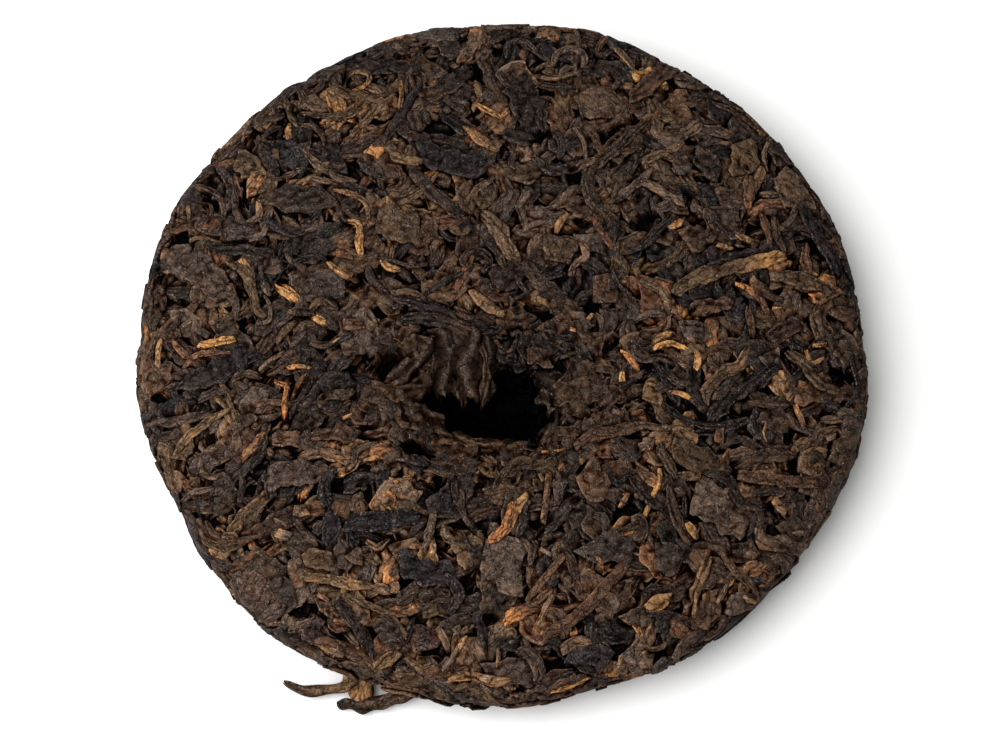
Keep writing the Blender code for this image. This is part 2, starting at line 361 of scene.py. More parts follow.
@dataclass
class ReliefMap:
    """Height of the pressed heap over the chart, and which leaf is on top, on a square grid."""

    reach: float = 116.0
    cell: float = 0.3
    count: int = field(init=False)
    heights: Array = field(init=False)
    owners: Array = field(init=False)

    def __post_init__(self) -> None:
        """Starts with bare skin."""
        self.count = int(2 * self.reach / self.cell) + 1
        self.heights = np.zeros(self.count * self.count)
        self.owners = np.full(self.count * self.count, -1)

    def index(self, u: Array, v: Array) -> Array:
        """Flat index of the cell of each place.

        Args:
            u: chart coordinates in mm.
            v: chart coordinates in mm.

        Returns:
            The index of each place's cell.
        """
        column = np.clip(np.rint((u + self.reach) / self.cell).astype(int), 0, self.count - 1)
        row = np.clip(np.rint((v + self.reach) / self.cell).astype(int), 0, self.count - 1)
        return row * self.count + column

    def lay(self, u: Array, v: Array, height: Array, owner: int) -> None:
        """Raises the cells under a leaf to its height where it lies higher than what was there.

        Args:
            u: chart coordinates in mm, closer than a cell to each other.
            v: chart coordinates in mm.
            height: the leaf's height in mm.
            owner: the leaf's number.
        """
        cells, height = self.index(u, v).ravel(), height.ravel()
        higher = height > self.heights[cells]
        self.owners[cells[higher]] = owner
        np.maximum.at(self.heights, cells, height)

    def sample(self, u: Array, v: Array, values: Array | None = None) -> Array:
        """Values of the grid, or of the given array on it, between the four cells round each place.

        Args:
            u: chart coordinates in mm.
            v: chart coordinates in mm.
            values: an array on the same grid, or None for the heights.

        Returns:
            The value at each place by bilinear interpolation.
        """
        values = (self.heights if values is None else values).reshape(self.count, self.count)
        x = np.clip((u + self.reach) / self.cell, 0, self.count - 1.001)
        y = np.clip((v + self.reach) / self.cell, 0, self.count - 1.001)
        column, row = x.astype(int), y.astype(int)
        x, y = x - column, y - row
        low = values[row, column] * (1 - x) + values[row, column + 1] * x
        high = values[row + 1, column] * (1 - x) + values[row + 1, column + 1] * x
        return low * (1 - y) + high * y

    def blurred(self, spread: float, values: Array | None = None) -> Array:
        """The heights, or other values, smoothed by a Gaussian of a spread in mm, as a product of spectra.

        Args:
            spread: the Gaussian's standard deviation in mm.
            values: an array on the same grid, or None for the heights.

        Returns:
            The smoothed array.
        """
        grid = (self.heights if values is None else values).reshape(self.count, self.count)
        turns_y = np.fft.fftfreq(self.count, self.cell)[:, None]
        turns_x = np.fft.rfftfreq(self.count, self.cell)[None]
        weight = np.exp(-2 * (math.pi * spread) ** 2 * (turns_x**2 + turns_y**2))
        return np.fft.irfft2(np.fft.rfft2(grid) * weight, s=grid.shape).ravel()


@dataclass(frozen=True)
class LeafKind:
    """How one kind of leaf is rolled, torn and pressed.

    Lengths are in mm. bend and swing turn the middle line in radians, wobble tears the edges by a share of
    the width, drape is how closely the leaf follows the ground under it, and round is how much its section
    sinks from the middle to the brink.
    """

    name: str
    length: tuple[float, float]
    width: tuple[float, float]
    thickness: tuple[float, float]
    bend: float
    swing: float
    columns: int = 11
    spacing: float = 1.2
    taper: float = 3.0
    blunt: tuple[float, float] = (0.1, 0.5)
    wobble: float = 0.12
    folds: tuple[int, int] = (1, 3)
    fold_depth: float = 0.26
    crumple: float = 0.18
    crumple_length: float = 5.0
    drape: float = 0.55
    round: float = 0.3


ROLLED = LeafKind("rolled", (10, 28), (3.2, 6.8), (1.0, 1.5), 0.8, 0.3, spacing=1.35, wobble=0.24)
NARROW = LeafKind("narrow", (6, 15), (1.9, 3.6), (0.9, 1.3), 1.0, 0.4, columns=9, folds=(1, 2), wobble=0.24)
CURLED = LeafKind("curled", (9, 18), (2.0, 3.2), (0.9, 1.3), 3.6, 0.8, columns=9, spacing=0.95, folds=(1, 2))
FLAKE = LeafKind(
    "flake", (7, 16), (5, 10), (1.0, 1.4), 0.7, 0.3, columns=13, spacing=0.95, taper=3.2, blunt=(0.35, 0.9),
    wobble=0.2, fold_depth=0.22, crumple=0.2, drape=0.8, round=0.12,
)
STALK = LeafKind(
    "stalk", (12, 26), (1.6, 2.6), (1.0, 1.4), 0.5, 0.3, columns=9, spacing=1.5, taper=9.0, blunt=(0.6, 0.85),
    wobble=0.06, folds=(1, 2), fold_depth=0.16, crumple=0.06, drape=0.35,
)
BUD = LeafKind(
    "bud", (6, 13), (1.7, 3.1), (0.9, 1.3), 0.9, 0.5, columns=9, spacing=1.0, taper=2.4, blunt=(0.05, 0.4),
    folds=(1, 2), fold_depth=0.2, crumple=0.12,
)
SHRED = LeafKind(
    "shred", (2.2, 6), (0.9, 2.2), (0.5, 0.9), 1.6, 0.5, columns=5, spacing=1.0, wobble=0.25, folds=(1, 1),
    fold_depth=0.12, crumple=0.15, crumple_length=2.0, drape=0.7,
)
TORN = LeafKind(
    "torn", (4, 10), (3, 6.5), (0.4, 0.7), 0.8, 0.3, columns=11, spacing=0.9, taper=2.6, blunt=(0.3, 0.85),
    wobble=0.26, folds=(1, 2), fold_depth=0.18, crumple=0.18, crumple_length=3.0, drape=1.0, round=0.12,
)
SHEET = LeafKind(
    "sheet", (8, 15), (5, 9), (0.4, 0.6), 0.8, 0.3, columns=15, spacing=0.75, taper=3.2, blunt=(0.4, 0.9),
    wobble=0.3, folds=(2, 3), fold_depth=0.2, crumple=0.2, crumple_length=3.6, drape=1.0, round=0.12,
)
KINDS = {kind.name: kind for kind in (ROLLED, NARROW, CURLED, FLAKE, STALK, BUD, SHRED, TORN, SHEET)}


@dataclass
class Leaf:
    """One leaf before it is pressed: its kind, its middle line in the chart and its own measures in mm."""

    kind: LeafKind
    line: Array
    width: float
    thickness: float
    tone: float
    squeeze: Array | None = None
    rise: float = 0.0


@dataclass
class PressedLeaf:
    """One leaf after it is pressed, as grids with a row for each station and a column across."""

    brink_light = 0.25

    kind: LeafKind
    u: Array
    v: Array
    height: Array
    along: Array
    across: Array
    tone: Array
    warmth: float
    rise: float

    def walled(self) -> Array:
        """One at the foot of the walls, a little below nought on their brink, nought on top: painted shade
        and highlight.

        Returns:
            A number for each point of the leaf.
        """
        foot = np.zeros(self.u.shape)
        foot[:, 0] = foot[:, -1] = 1
        foot[:, 1] = foot[:, -2] = -self.brink_light
        return foot

    def cut(self, first: int, last: int) -> "PressedLeaf":
        """The stretch of the leaf between two stations.

        Args:
            first: number of the first station.
            last: number of the last station.

        Returns:
            The shorter leaf.
        """
        rows = slice(first, last + 1)
        grids = (self.u, self.v, self.height, self.along, self.across, self.tone)
        return PressedLeaf(self.kind, *(grid[rows] for grid in grids), self.warmth, self.rise)


def even_line(points: Array, count: int) -> Array:
    """A smooth line through points, as cubic Hermite pieces over the chord length, at even steps.

    Args:
        points: K points, two or more.
        count: how many points to return.

    Returns:
        An array of count points.
    """
    chord = np.concatenate([[0], np.cumsum(np.linalg.norm(np.diff(points, axis=0), axis=1))])
    slope = np.gradient(points, chord, axis=0)
    place = np.linspace(0, chord[-1], count)
    piece = np.clip(np.searchsorted(chord, place, side="right") - 1, 0, len(chord) - 2)
    span = (chord[piece + 1] - chord[piece])[:, None]
    t = (place - chord[piece])[:, None] / span
    start, stop = points[piece], points[piece + 1]
    return (
        (2 * t**3 - 3 * t**2 + 1) * start
        + (t**3 - 2 * t**2 + t) * span * slope[piece]
        + (3 * t**2 - 2 * t**3) * stop
        + (t**3 - t**2) * span * slope[piece + 1]
    )


@dataclass
class Press:
    """Lays leaves one on another over one side of the cake and presses them level.

    Lengths are in mm. The shades say how much painted shade darkens a gap and a leaf's wall, in the units of
    the relief that the finish reads.
    """

    skin: Skin
    side: Side
    draw: np.random.Generator
    sink_share: float = 0.5
    edge_tuck: float = 0.3
    wall: float = 0.3
    bevel: float = 0.3
    end_wall: float = 0.4
    slant: float = 0.55
    kinked_share: float = 0.35
    short_bias: float = 1.7
    bend_scatter: float = 0.6
    curl_range: tuple[float, float] = (0.5, 1.25)
    kink_turn: float = 0.45
    kink_reach: float = 0.25
    kink_length: float = 0.04
    line_points: int = 17
    least_brink: float = 0.72
    least_shoulder: float = 0.4
    fewest_stations: int = 4
    most_stations: int = 26
    sag_range: tuple[float, float] = (-1.2, 0.5)
    level_spread: float = 4.5
    level: float = -0.15
    give: float = 0.27
    fill: float = 0.33
    crease_spread: float = 0.4
    crease_depth: float = 1.0
    crease_gain: float = 1.6
    crease_range: tuple[float, float] = (-0.3, 0.22)
    under_from: float = 0.1
    under_most: float = 0.6
    under_depth: float = 1.1
    gap_from: float = 0.75
    gap_most: float = 1.5
    gap_depth: float = 0.7
    gap_shade: float = 0.35
    wall_shade: float = 0.46
    lift_range: tuple[float, float] = (-2.6, 1.6)
    dive: float = 0.9
    least_cells: int = 7
    hidden_below: float = 0.25
    coarseness: float = 1.0
    rim_from: float = 88.0
    rim_rise: float = 0.5
    most_rise: float = 0.8
    rim_tilt: float = 0.6
    tipped_share: float = 0.12
    flat_tip: float = 0.2
    rolled_tip: float = 0.4
    relief: ReliefMap = field(default_factory=ReliefMap)
    leaves: list[PressedLeaf] = field(default_factory=list)

    def random_leaf(self, kind: LeafKind, middle: Array, heading: float, tone: float, squeeze: Array) -> Leaf:
        """A leaf whose middle line turns by a random bend, with a sine swing and now and then a sharp kink.

        Args:
            kind: the leaf's kind.
            middle: middle of the leaf in the chart.
            heading: direction of the middle line in radians.
            tone: place of the leaf's colour in its kind's range.
            squeeze: matrix that keeps the leaf at its true size where the chart is stretched.

        Returns:
            The leaf, not yet laid.
        """
        size = self.draw.random() ** self.short_bias
        length = kind.length[0] + (kind.length[1] - kind.length[0]) * size
        width = kind.width[0] + (kind.width[1] - kind.width[0]) * self.draw.random()
        thickness = self.draw.uniform(*kind.thickness)
        share = np.linspace(-0.5, 0.5, self.line_points)
        bend = kind.bend * self.draw.normal(0, self.bend_scatter)
        if kind is CURLED:
            bend = kind.bend * self.draw.uniform(*self.curl_range) * self.draw.choice((-1, 1))
        turn = heading + bend * share + kind.swing * self.draw.normal() * np.sin(2 * math.pi * share)
        if self.draw.random() < self.kinked_share:
            kink = self.draw.normal(0, self.kink_turn)
            place = self.draw.uniform(-self.kink_reach, self.kink_reach)
            turn = turn + kink * np.tanh((share - place) / self.kink_length)
        line = np.cumsum(np.stack([np.cos(turn), np.sin(turn)], axis=1), axis=0)
        line = line * length / (self.line_points - 1)
        line = middle + (line - line.mean(axis=0)) @ squeeze
        rise = min(abs(self.draw.normal(0, self.rim_rise)), self.most_rise)
        return Leaf(kind, line, width, thickness, tone, squeeze, rise)

    def shape(self, leaf: Leaf) -> PressedLeaf:
        """The leaf's own form on a grid of stations and columns, before it is pressed.

        The half width is a taper (1 - end^p)^0.6 between blunt ends, times triangle waves that tear each
        edge. The height is a flat section with a narrow bevel and a steep wall round it, plus sharp folds
        2|sin|^0.8 - 1 along the leaf and a crumple of crossed sines. The ends are cut at a slant, and dive
        under their neighbours.

        Args:
            leaf: the leaf to shape.

        Returns:
            The leaf with heights over its own base.
        """
        kind, draw = leaf.kind, self.draw
        length = float(np.linalg.norm(np.diff(leaf.line, axis=0), axis=1).sum())
        stations = round(length / kind.spacing / self.coarseness) + 1
        stations = min(max(stations, self.fewest_stations), self.most_stations)
        columns = max(5, round(kind.columns / self.coarseness**0.5))
        lip = min(self.end_wall / length, 0.1)
        share = np.concatenate([[0], np.linspace(lip, 1 - lip, stations - 2), [1]])
        fine = np.linspace(0, 1, 200)
        line = even_line(leaf.line, len(fine))
        line = np.stack([np.interp(share, fine, line[:, k]) for k in range(2)], axis=-1)
        way = np.gradient(line, share, axis=0)
        way /= np.maximum(np.linalg.norm(way, axis=1, keepdims=True), 1e-9)
        end = np.abs(2 * share - 1)
        blunt = np.where(share < 0.5, draw.uniform(*kind.blunt), draw.uniform(*kind.blunt))
        taper = blunt + (1 - blunt) * (1 - end**kind.taper) ** 0.6
        edges = []
        for _ in range(2):
            phases, turns = draw.uniform(0, 7, 3), draw.uniform((0.08, 0.2, 0.4), (0.2, 0.5, 0.9))
            swing = turns[:, None] * share * length / 3 + phases[:, None]
            tears = (np.abs(4 * (swing % 1) - 2) - 1).mean(axis=0)
            edges.append(taper * (1 + kind.wobble * 2 * tears) * leaf.width / 2)
        brink = max(1 - 2 * self.wall / leaf.width, self.least_brink)
        shoulder = max(1 - 2 * (self.wall + self.bevel) / leaf.width, self.least_shoulder)
        inner = np.linspace(-shoulder, shoulder, columns - 4) if columns > 5 else np.zeros(1)
        t = np.concatenate([[-1, -brink], inner, [brink, 1]])[None]
        across = np.where(t < 0, edges[0][:, None], edges[1][:, None]) * t
        slant = np.where(share < 0.5, draw.normal(0, self.slant), draw.normal(0, self.slant)) * end**4
        along = (share * length)[:, None] + slant[:, None] * across
        off = np.stack([-way[:, 1], way[:, 0]], axis=-1)
        if leaf.squeeze is not None:
            off = off * np.linalg.norm(off @ leaf.squeeze, axis=1, keepdims=True)
        u = line[:, :1] + off[:, :1] * across + way[:, :1] * slant[:, None] * across
        v = line[:, 1:] + off[:, 1:] * across + way[:, 1:] * slant[:, None] * across

        section = (1, 1 - kind.round / 2, 1 - kind.round, 0)
        body = np.interp(np.abs(t), (0, shoulder, brink, 1), section)
        body = body * np.interp(share, (0, lip, 1 - lip, 1), (0, 1, 1, 0))[:, None]
        folds = int(draw.integers(kind.folds[0], kind.folds[1] + 1))
        twist = draw.normal(0, 0.25) * (along / 10)
        twist = twist + 0.2 * np.sin(along / draw.uniform(2, 5) + draw.uniform(0, 7))
        fold = 2 * np.abs(np.sin(math.pi * (t * folds / 2 + twist + draw.random()))) ** 0.8 - 1
        crumple = np.zeros_like(u)
        for _ in range(3):
            angle, phase = draw.uniform(0, math.pi), draw.uniform(0, 7)
            wave = 2 * math.pi / (kind.crumple_length * draw.uniform(0.6, 1.5))
            crumple += np.sin(wave * (along * math.cos(angle) + across * math.sin(angle)) + phase) / 3
        crumple = 2 * np.abs(crumple) - 0.6 if kind is FLAKE else crumple
        relief = kind.fold_depth * fold + kind.crumple * 1.6 * crumple
        dive = self.dive * np.where(share < 0.5, draw.random(), draw.random())[:, None] * end[:, None] ** 6
        height = body * (leaf.thickness + relief * (leaf.thickness / np.mean(kind.thickness)))
        height -= self.edge_tuck * (1 - body) + dive
        tone = leaf.tone + 0.05 * np.sin(along / draw.uniform(1.5, 4) + draw.uniform(0, 7))
        # paler towards both edges, partly wear and partly painted highlight, and a little paler on one side
        # than the other
        tone = tone + 0.07 * t**4 - 0.04 * t
        if draw.random() < self.tipped_share:
            tip = share if draw.random() < 0.5 else 1 - share
            paler = self.flat_tip if kind.round < 0.2 else self.rolled_tip
            tone = tone + paler * np.clip(2.5 * tip - 1.2, 0, 1)[:, None]
        return PressedLeaf(kind, u, v, height, along, across, tone, float(draw.uniform(0, 1)), leaf.rise)

    def add(self, leaf: Leaf) -> None:
        """Lays a leaf on the heap: it follows the smoothed ground, and sinks in by part of its thickness.

        Args:
            leaf: the leaf to lay.
        """
        made = self.shape(leaf)
        ground = self.relief.sample(made.u, made.v)
        spine = 0.5 * ground.mean(axis=1) + 0.5 * ground.max(axis=1)
        for _ in range(3):
            padded = np.concatenate([spine[:1], spine, spine[-1:]])
            spine = 0.25 * padded[:-2] + 0.5 * padded[1:-1] + 0.25 * padded[2:]
        sag = np.clip(ground - spine[:, None], *self.sag_range)
        made.height += spine[:, None] + leaf.kind.drape * sag - self.sink_share * leaf.thickness
        self.record(made)
        self.leaves.append(made)

    def record(self, made: PressedLeaf) -> None:
        """Draws the leaf into the relief map from a grid five times as dense along and three times across.

        Args:
            made: the leaf as it lies.
        """
        u, v, height = (self.finer(values) for values in (made.u, made.v, made.height))
        self.relief.lay(u, v, height, len(self.leaves))

    @staticmethod
    def finer(values: Array) -> Array:
        """The grid with points put between its rows and columns by linear interpolation."""
        for dense in (5, 3):
            place = np.linspace(0, len(values) - 1, len(values) * dense)
            low = np.minimum(place.astype(int), len(values) - 2)
            part = (place - low)[:, None]
            values = (values[low] * (1 - part) + values[low + 1] * part).T
        return values

    def flattened(self, rise: Array) -> Array:
        """Heights over the swell after pressing: what stands up gives way, and what lies low is filled."""
        return self.level + np.where(rise > self.level, self.give, self.fill) * (rise - self.level)

    def visible(self) -> list[tuple[PressedLeaf, Array, Array]]:
        """The leaves that show, cut to the stations that show, levelled by taking the broad swell away.

        Returns:
            For each leaf the leaf, its lift off the skin, and its relief against its neighbours in mm, with
            painted shade in gaps and at walls and a painted highlight on the brinks.
        """
        seen = np.bincount(self.relief.owners[self.relief.owners >= 0], minlength=len(self.leaves))
        swell = self.relief.blurred(self.level_spread)
        near = self.relief.blurred(self.crease_spread, self.flattened(self.relief.heights - swell))
        rim = self.skin.rim_arc(self.side)
        shown = []
        for number, leaf in enumerate(self.leaves):
            if seen[number] < self.least_cells:
                continue
            top = self.relief.sample(leaf.u, leaf.v)
            rows = np.flatnonzero((leaf.height > top - self.hidden_below).any(axis=1))
            if len(rows) == 0:
                continue
            first, last = max(rows[0] - 1, 0), min(rows[-1] + 1, len(top) - 1)
            if last - first < 2:
                first, last = max(first - 1, 0), min(last + 1, len(top) - 1)
            leaf = leaf.cut(first, last)
            rise = leaf.height - self.relief.sample(leaf.u, leaf.v, swell)
            lift = self.flattened(rise)
            over = lift - self.relief.sample(leaf.u, leaf.v, near)
            under = self.relief.sample(leaf.u, leaf.v) - leaf.height
            under = np.clip(under - self.under_from, 0, self.under_most)
            gap = np.clip(-rise - self.gap_from, 0, self.gap_most)
            # painted shade where the leaf lies low, in gaps and at its walls; painted highlight where it
            # stands up
            relief = np.clip(self.crease_gain * over, *self.crease_range)
            relief = relief - self.gap_shade * gap - self.wall_shade * leaf.walled()
            lift += self.crease_depth * np.minimum(over, 0) - self.under_depth * under - self.gap_depth * gap
            outer = np.clip((np.hypot(leaf.u, leaf.v) - self.rim_from) / (rim - self.rim_from), 0, 1)
            tilt = 1 + self.rim_tilt * leaf.across / np.abs(leaf.across).max()
            stand = leaf.rise * tilt + self.skin.dent(np.arctan2(leaf.v, leaf.u))
            shown.append((leaf, np.clip(lift, *self.lift_range) + outer * stand, relief))
        return shown


def linear(code: str) -> tuple[float, float, float, float]:
    """The linear colour of an sRGB hex code, by the standard's own curve.

    Args:
        code: six hex digits after a hash sign.

    Returns:
        Red, green, blue and alpha from 0 to 1.
    """
    parts = [int(code[k : k + 2], 16) / 255 for k in (1, 3, 5)]
    return tuple(p / 12.92 if p <= 0.04045 else ((p + 0.055) / 1.055) ** 2.4 for p in parts) + (1.0,)


def add(tree: bpy.types.NodeTree, kind: str, links: dict | None = None, **settings: object) -> bpy.types.Node:
    """Adds a node, sets its properties and input values, and links its inputs.

    Args:
        tree: the material's node tree.
        kind: the node's type name.
        links: input name or number to the output socket that feeds it.
        settings: properties of the node, or values of its inputs with spaces written as underscores.

    Returns:
        The new node.
    """
    node = tree.nodes.new(kind)
    for name, value in settings.items():
        if hasattr(node, name):
            setattr(node, name, value)
        else:
            node.inputs[name.replace("_", " ")].default_value = value
    for name, socket in (links or {}).items():
        tree.links.new(socket, node.inputs[name])
    return node


def noise(
    tree: bpy.types.NodeTree, place: bpy.types.NodeSocket, scale: float, detail: float, roughness: float
) -> bpy.types.NodeSocket:
    """Fractal noise over a vector, from 0 to 1 about a half."""
    node = add(tree, "ShaderNodeTexNoise", {"Vector": place}, Scale=scale, Detail=detail, Roughness=roughness)
    return node.outputs["Fac"]


def ramp(tree: bpy.types.NodeTree, source: bpy.types.NodeSocket, stops: tuple) -> bpy.types.NodeSocket:
    """A colour ramp over a value.

    Args:
        tree: the material's node tree.
        source: the value.
        stops: pairs of position and hex colour, or position and grey level.

    Returns:
        The ramp's colour output.
    """
    node = add(tree, "ShaderNodeValToRGB", {"Fac": source})
    points = node.color_ramp.elements
    while len(points) < len(stops):
        points.new(1.0)
    for point, (place, colour) in zip(points, stops):
        point.position = place
        point.color = linear(colour) if isinstance(colour, str) else (colour, colour, colour, 1.0)
    return node.outputs["Color"]


def stretched(
    tree: bpy.types.NodeTree, place: bpy.types.NodeSocket, size: tuple[float, float], turn: float = 0.0
) -> bpy.types.NodeSocket:
    """A place in mm as a pattern reads it, whose unit is size mm across and along, turned by turn radians."""
    scale, rotation = (1 / size[0], 1 / size[1], 1), (0, 0, turn)
    return add(tree, "ShaderNodeMapping", {"Vector": place}, Scale=scale, Rotation=rotation).outputs["Vector"]


@dataclass(frozen=True)
class LeafFinish:
    """Dry fermented tea leaf, steam pressed: matt, ridged along its fibres, its high parts pale with dust and
    painted highlight.

    The tones run from blackened leaf through brown to the tan of tips and stalks. Pressed creases are painted
    nearly black: painted shade, since light doesn't reach them, and the tea dust that lies in them. Lengths
    are in millimetres.
    """

    name: str
    tones: tuple[tuple[float, str], ...] = (
        (0.0, "#1a1717"), (0.15, "#272223"), (0.32, "#382d27"), (0.5, "#4b3c32"),
        (0.66, "#5f4c3e"), (0.78, "#745a46"), (0.9, "#8f6a47"), (1.0, "#a67d54"),
    )
    # painted shade and highlight over the relief: near black in creases, gaps and at walls, lighter on what
    # stands up
    creases: tuple[tuple[float, str | float], ...] = (
        (0.0, "#0a0301"), (0.3, "#200f08"), (0.48, "#8c7059"), (0.6, "#e8dace"), (0.72, 1.08), (0.9, 1.3),
    )
    crease_reach: tuple[float, float] = (-0.6, 0.3)
    casts: tuple[tuple[float, str], ...] = (
        (0.0, "#dee4f0"), (0.25, "#f2f1ef"), (0.5, "#f8f3da"), (0.75, "#fff2e0"), (1.0, "#ffe0cc"),
    )
    roughness: float = 0.55
    ior: float = 1.45
    gloss: float = 0.02
    fibre_pitch: float = 0.55
    fibre_depth: float = 0.14
    grain_size: float = 0.31
    grain_turn: float = 0.5
    grain_depth: float = 0.19
    pit_size: float = 1.1
    pit_depth: float = 0.36
    wrinkle: tuple[float, float] = (1.9, 7.0)
    wrinkle_sway: float = 2.6
    wrinkle_depth: float = 0.22
    speck_pitch: float = 1.3
    blotch_scale: float = 380.0
    blotch_push: float = 0.44
    # the pale dust on high parts, which also serves as a painted highlight for the leaf's sheen
    dust: str = "#948a80"

    def build(self) -> bpy.types.Material:
        """The material: the leaf's tone with blotches, fibres, grain and specks, with painted shade in its
        creases and painted highlights on its high parts.

        Returns:
            The material.
        """
        material = bpy.data.materials.new(self.name)
        material.use_nodes = True
        tree = material.node_tree
        tree.nodes.clear()
        tone, relief, warmth = (
            add(tree, "ShaderNodeAttribute", attribute_name=name).outputs["Fac"]
            for name in ("tone", "relief", "warmth")
        )
        place = add(tree, "ShaderNodeTexCoord").outputs
        solid, flat = place["Object"], place["UV"]
        fibre = noise(tree, stretched(tree, flat, (self.fibre_pitch, 5 * self.fibre_pitch)), 1.0, 3.0, 0.6)
        # wrinkles: sharp valleys between cells that are drawn out along the leaf, pushed about by noise
        sway = add(tree, "ShaderNodeTexNoise", {"Vector": flat}, Scale=0.55, Detail=3.0).outputs["Color"]
        bent = add(tree, "ShaderNodeVectorMath", {0: sway, 2: flat}, operation="MULTIPLY_ADD")
        bent.inputs[1].default_value = (self.wrinkle_sway, self.wrinkle_sway, 0.0)
        drawn = stretched(tree, bent.outputs[0], self.wrinkle)
        cells = add(tree, "ShaderNodeTexVoronoi", {"Vector": drawn}, feature="DISTANCE_TO_EDGE", Scale=1.0)
        wrinkle = ramp(tree, cells.outputs["Distance"], ((0.0, 0.0), (0.05, 0.5), (0.16, 1.0)))
        # the photograph shows grain down to its single pixels, 0.26 mm
        drawn = stretched(tree, bent.outputs[0], (self.grain_size, 2.5 * self.grain_size), self.grain_turn)
        grain = noise(tree, drawn, 1.0, 3.0, 0.7)
        pits = noise(tree, solid, 1 / (self.pit_size * MM), 3.0, 0.6)
        blotch = noise(tree, solid, self.blotch_scale, 3.0, 0.6)
        specks = add(tree, "ShaderNodeTexVoronoi", {"Vector": solid}, Scale=1 / (self.speck_pitch * MM))
        # the leaf's own tone, pushed about by blotches a few millimetres wide
        pushed = add(tree, "ShaderNodeMath", {0: blotch}, operation="MULTIPLY_ADD")
        pushed.inputs[1].default_value = self.blotch_push
        pushed.inputs[2].default_value = -self.blotch_push / 2
        moved = add(tree, "ShaderNodeMath", {0: tone, 1: pushed.outputs[0]}, operation="ADD", use_clamp=True)
        colour = ramp(tree, moved.outputs[0], self.tones)
        low, high = self.crease_reach
        crease = add(tree, "ShaderNodeMapRange", {"Value": relief}, From_Min=low, From_Max=high)
        crease = crease.outputs["Result"]
        factors = (
            ramp(tree, fibre, ((0.25, 0.72), (0.5, 1.0), (0.75, 1.25))),
            ramp(tree, grain, ((0.34, 0.46), (0.5, 1.0), (0.6, 1.4), (0.7, 2.1))),
            ramp(tree, pits, ((0.3, 0.5), (0.5, 1.0), (0.7, 1.35))),
            # painted shade in creases, gaps and at walls, painted highlight on what stands up, painted shade
            # in wrinkle valleys
            ramp(tree, crease, self.creases),
            ramp(tree, wrinkle, ((0.0, 0.12), (0.6, 0.85), (1.0, 1.06))),
            ramp(tree, specks.outputs["Distance"], ((0.09, 2.6), (0.15, 1.0))),
            ramp(tree, warmth, self.casts),
        )
        for factor in factors:
            mix = add(tree, "ShaderNodeMix", data_type="RGBA", blend_type="MULTIPLY")
            mix.inputs["Factor"].default_value = 1.0
            tree.links.new(colour, mix.inputs["A"])
            tree.links.new(factor, mix.inputs["B"])
            colour = mix.outputs["Result"]
        # pale dust and fuzz on what stands up, neutral in colour, and with it a painted highlight in place of
        # the sheen
        high = ramp(tree, crease, ((0.6, 0.0), (0.8, 1.0)))
        strands = ramp(tree, grain, ((0.5, 0.0), (0.74, 0.58)))
        fuzz = add(tree, "ShaderNodeMath", {0: strands, 1: high}, operation="MULTIPLY").outputs[0]
        dust_and_sheen = add(tree, "ShaderNodeMix", {"Factor": fuzz, "A": colour}, data_type="RGBA", blend_type="MIX")
        dust_and_sheen.inputs["B"].default_value = linear(self.dust)
        links = {}
        heights = (grain, fibre, pits, wrinkle)
        depths = (self.grain_depth, self.fibre_depth, self.pit_depth, self.wrinkle_depth)
        for height, depth in zip(heights, depths):
            bump = add(tree, "ShaderNodeBump", {"Height": height, **links}, Strength=1.0, Distance=depth * MM)
            links = {"Normal": bump.outputs["Normal"]}
        # the dull, broken skin scatters nearly all light: a full mirror share would veil the blacks in grey
        shader = add(
            tree, "ShaderNodeBsdfPrincipled", {"Base Color": dust_and_sheen.outputs["Result"], **links},
            Roughness=self.roughness, IOR=self.ior, Specular_IOR_Level=self.gloss,
        )
        add(tree, "ShaderNodeOutputMaterial", {"Surface": shader.outputs["BSDF"]})
        return material


def mesh_piece(
    name: str, points: Array, loops: Array, sizes: Array, material: bpy.types.Material
) -> bpy.types.Object:
    """Puts whole arrays into a mesh and its object into the scene.

    Args:
        name: the piece's name.
        points: N points in metres.
        loops: corner numbers of all faces, one face after another.
        sizes: how many corners each face has.
        material: the piece's finish.

    Returns:
        The new object, smooth shaded.
    """
    mesh = bpy.data.meshes.new(name)
    mesh.vertices.add(len(points))
    mesh.vertices.foreach_set("co", np.ascontiguousarray(points, dtype=np.float32).ravel())
    mesh.loops.add(len(loops))
    mesh.loops.foreach_set("vertex_index", loops.astype(np.int32))
    mesh.polygons.add(len(sizes))
    starts = np.concatenate([[0], np.cumsum(sizes)[:-1]])
    mesh.polygons.foreach_set("loop_start", starts.astype(np.int32))
    mesh.polygons.foreach_set("use_smooth", np.ones(len(sizes), dtype=bool))
    mesh.update(calc_edges=True)
    mesh.validate()
    mesh.materials.append(material)
    piece = bpy.data.objects.new(name, mesh)
    bpy.context.scene.collection.objects.link(piece)
    return piece


def dress(piece: bpy.types.Object, values: dict[str, Array], uv: Array) -> None:
    """Args:
        piece: the finished piece.
        values: attribute name to one number for each point.
        uv: texture places of the points in mm.
    """
    for name, numbers in values.items():
        layer = piece.data.attributes.new(name, "FLOAT", "POINT")
        layer.data.foreach_set("value", np.ascontiguousarray(numbers, dtype=np.float32))
    corner = np.empty(len(piece.data.loops), dtype=np.int32)
    piece.data.loops.foreach_get("vertex_index", corner)
    layer = piece.data.uv_layers.new(name="leaf_place")
    layer.data.foreach_set("uv", np.ascontiguousarray(uv[corner], dtype=np.float32).ravel())
    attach(piece, BODY)
    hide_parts(NODE)
    triangles = sum(len(face.vertices) - 2 for face in piece.data.polygons)
    logging.info("%s: %d triangles", piece.name, triangles)


def ring_quads(rings: int, columns: int) -> Array:
    """Corner numbers of the quads between each ring of points and the next, four for each quad.

    Args:
        rings: how many rings.
        columns: points in a ring.

    Returns:
        The corner numbers, a row for each quad.
    """
    row = np.arange(rings - 1)[:, None] * columns
    here = np.arange(columns)[None]
    after = (here + 1) % columns
    corners = (row + here, row + columns + here, row + columns + after, row + after)
    return np.stack(corners, axis=-1).reshape(-1, 4)


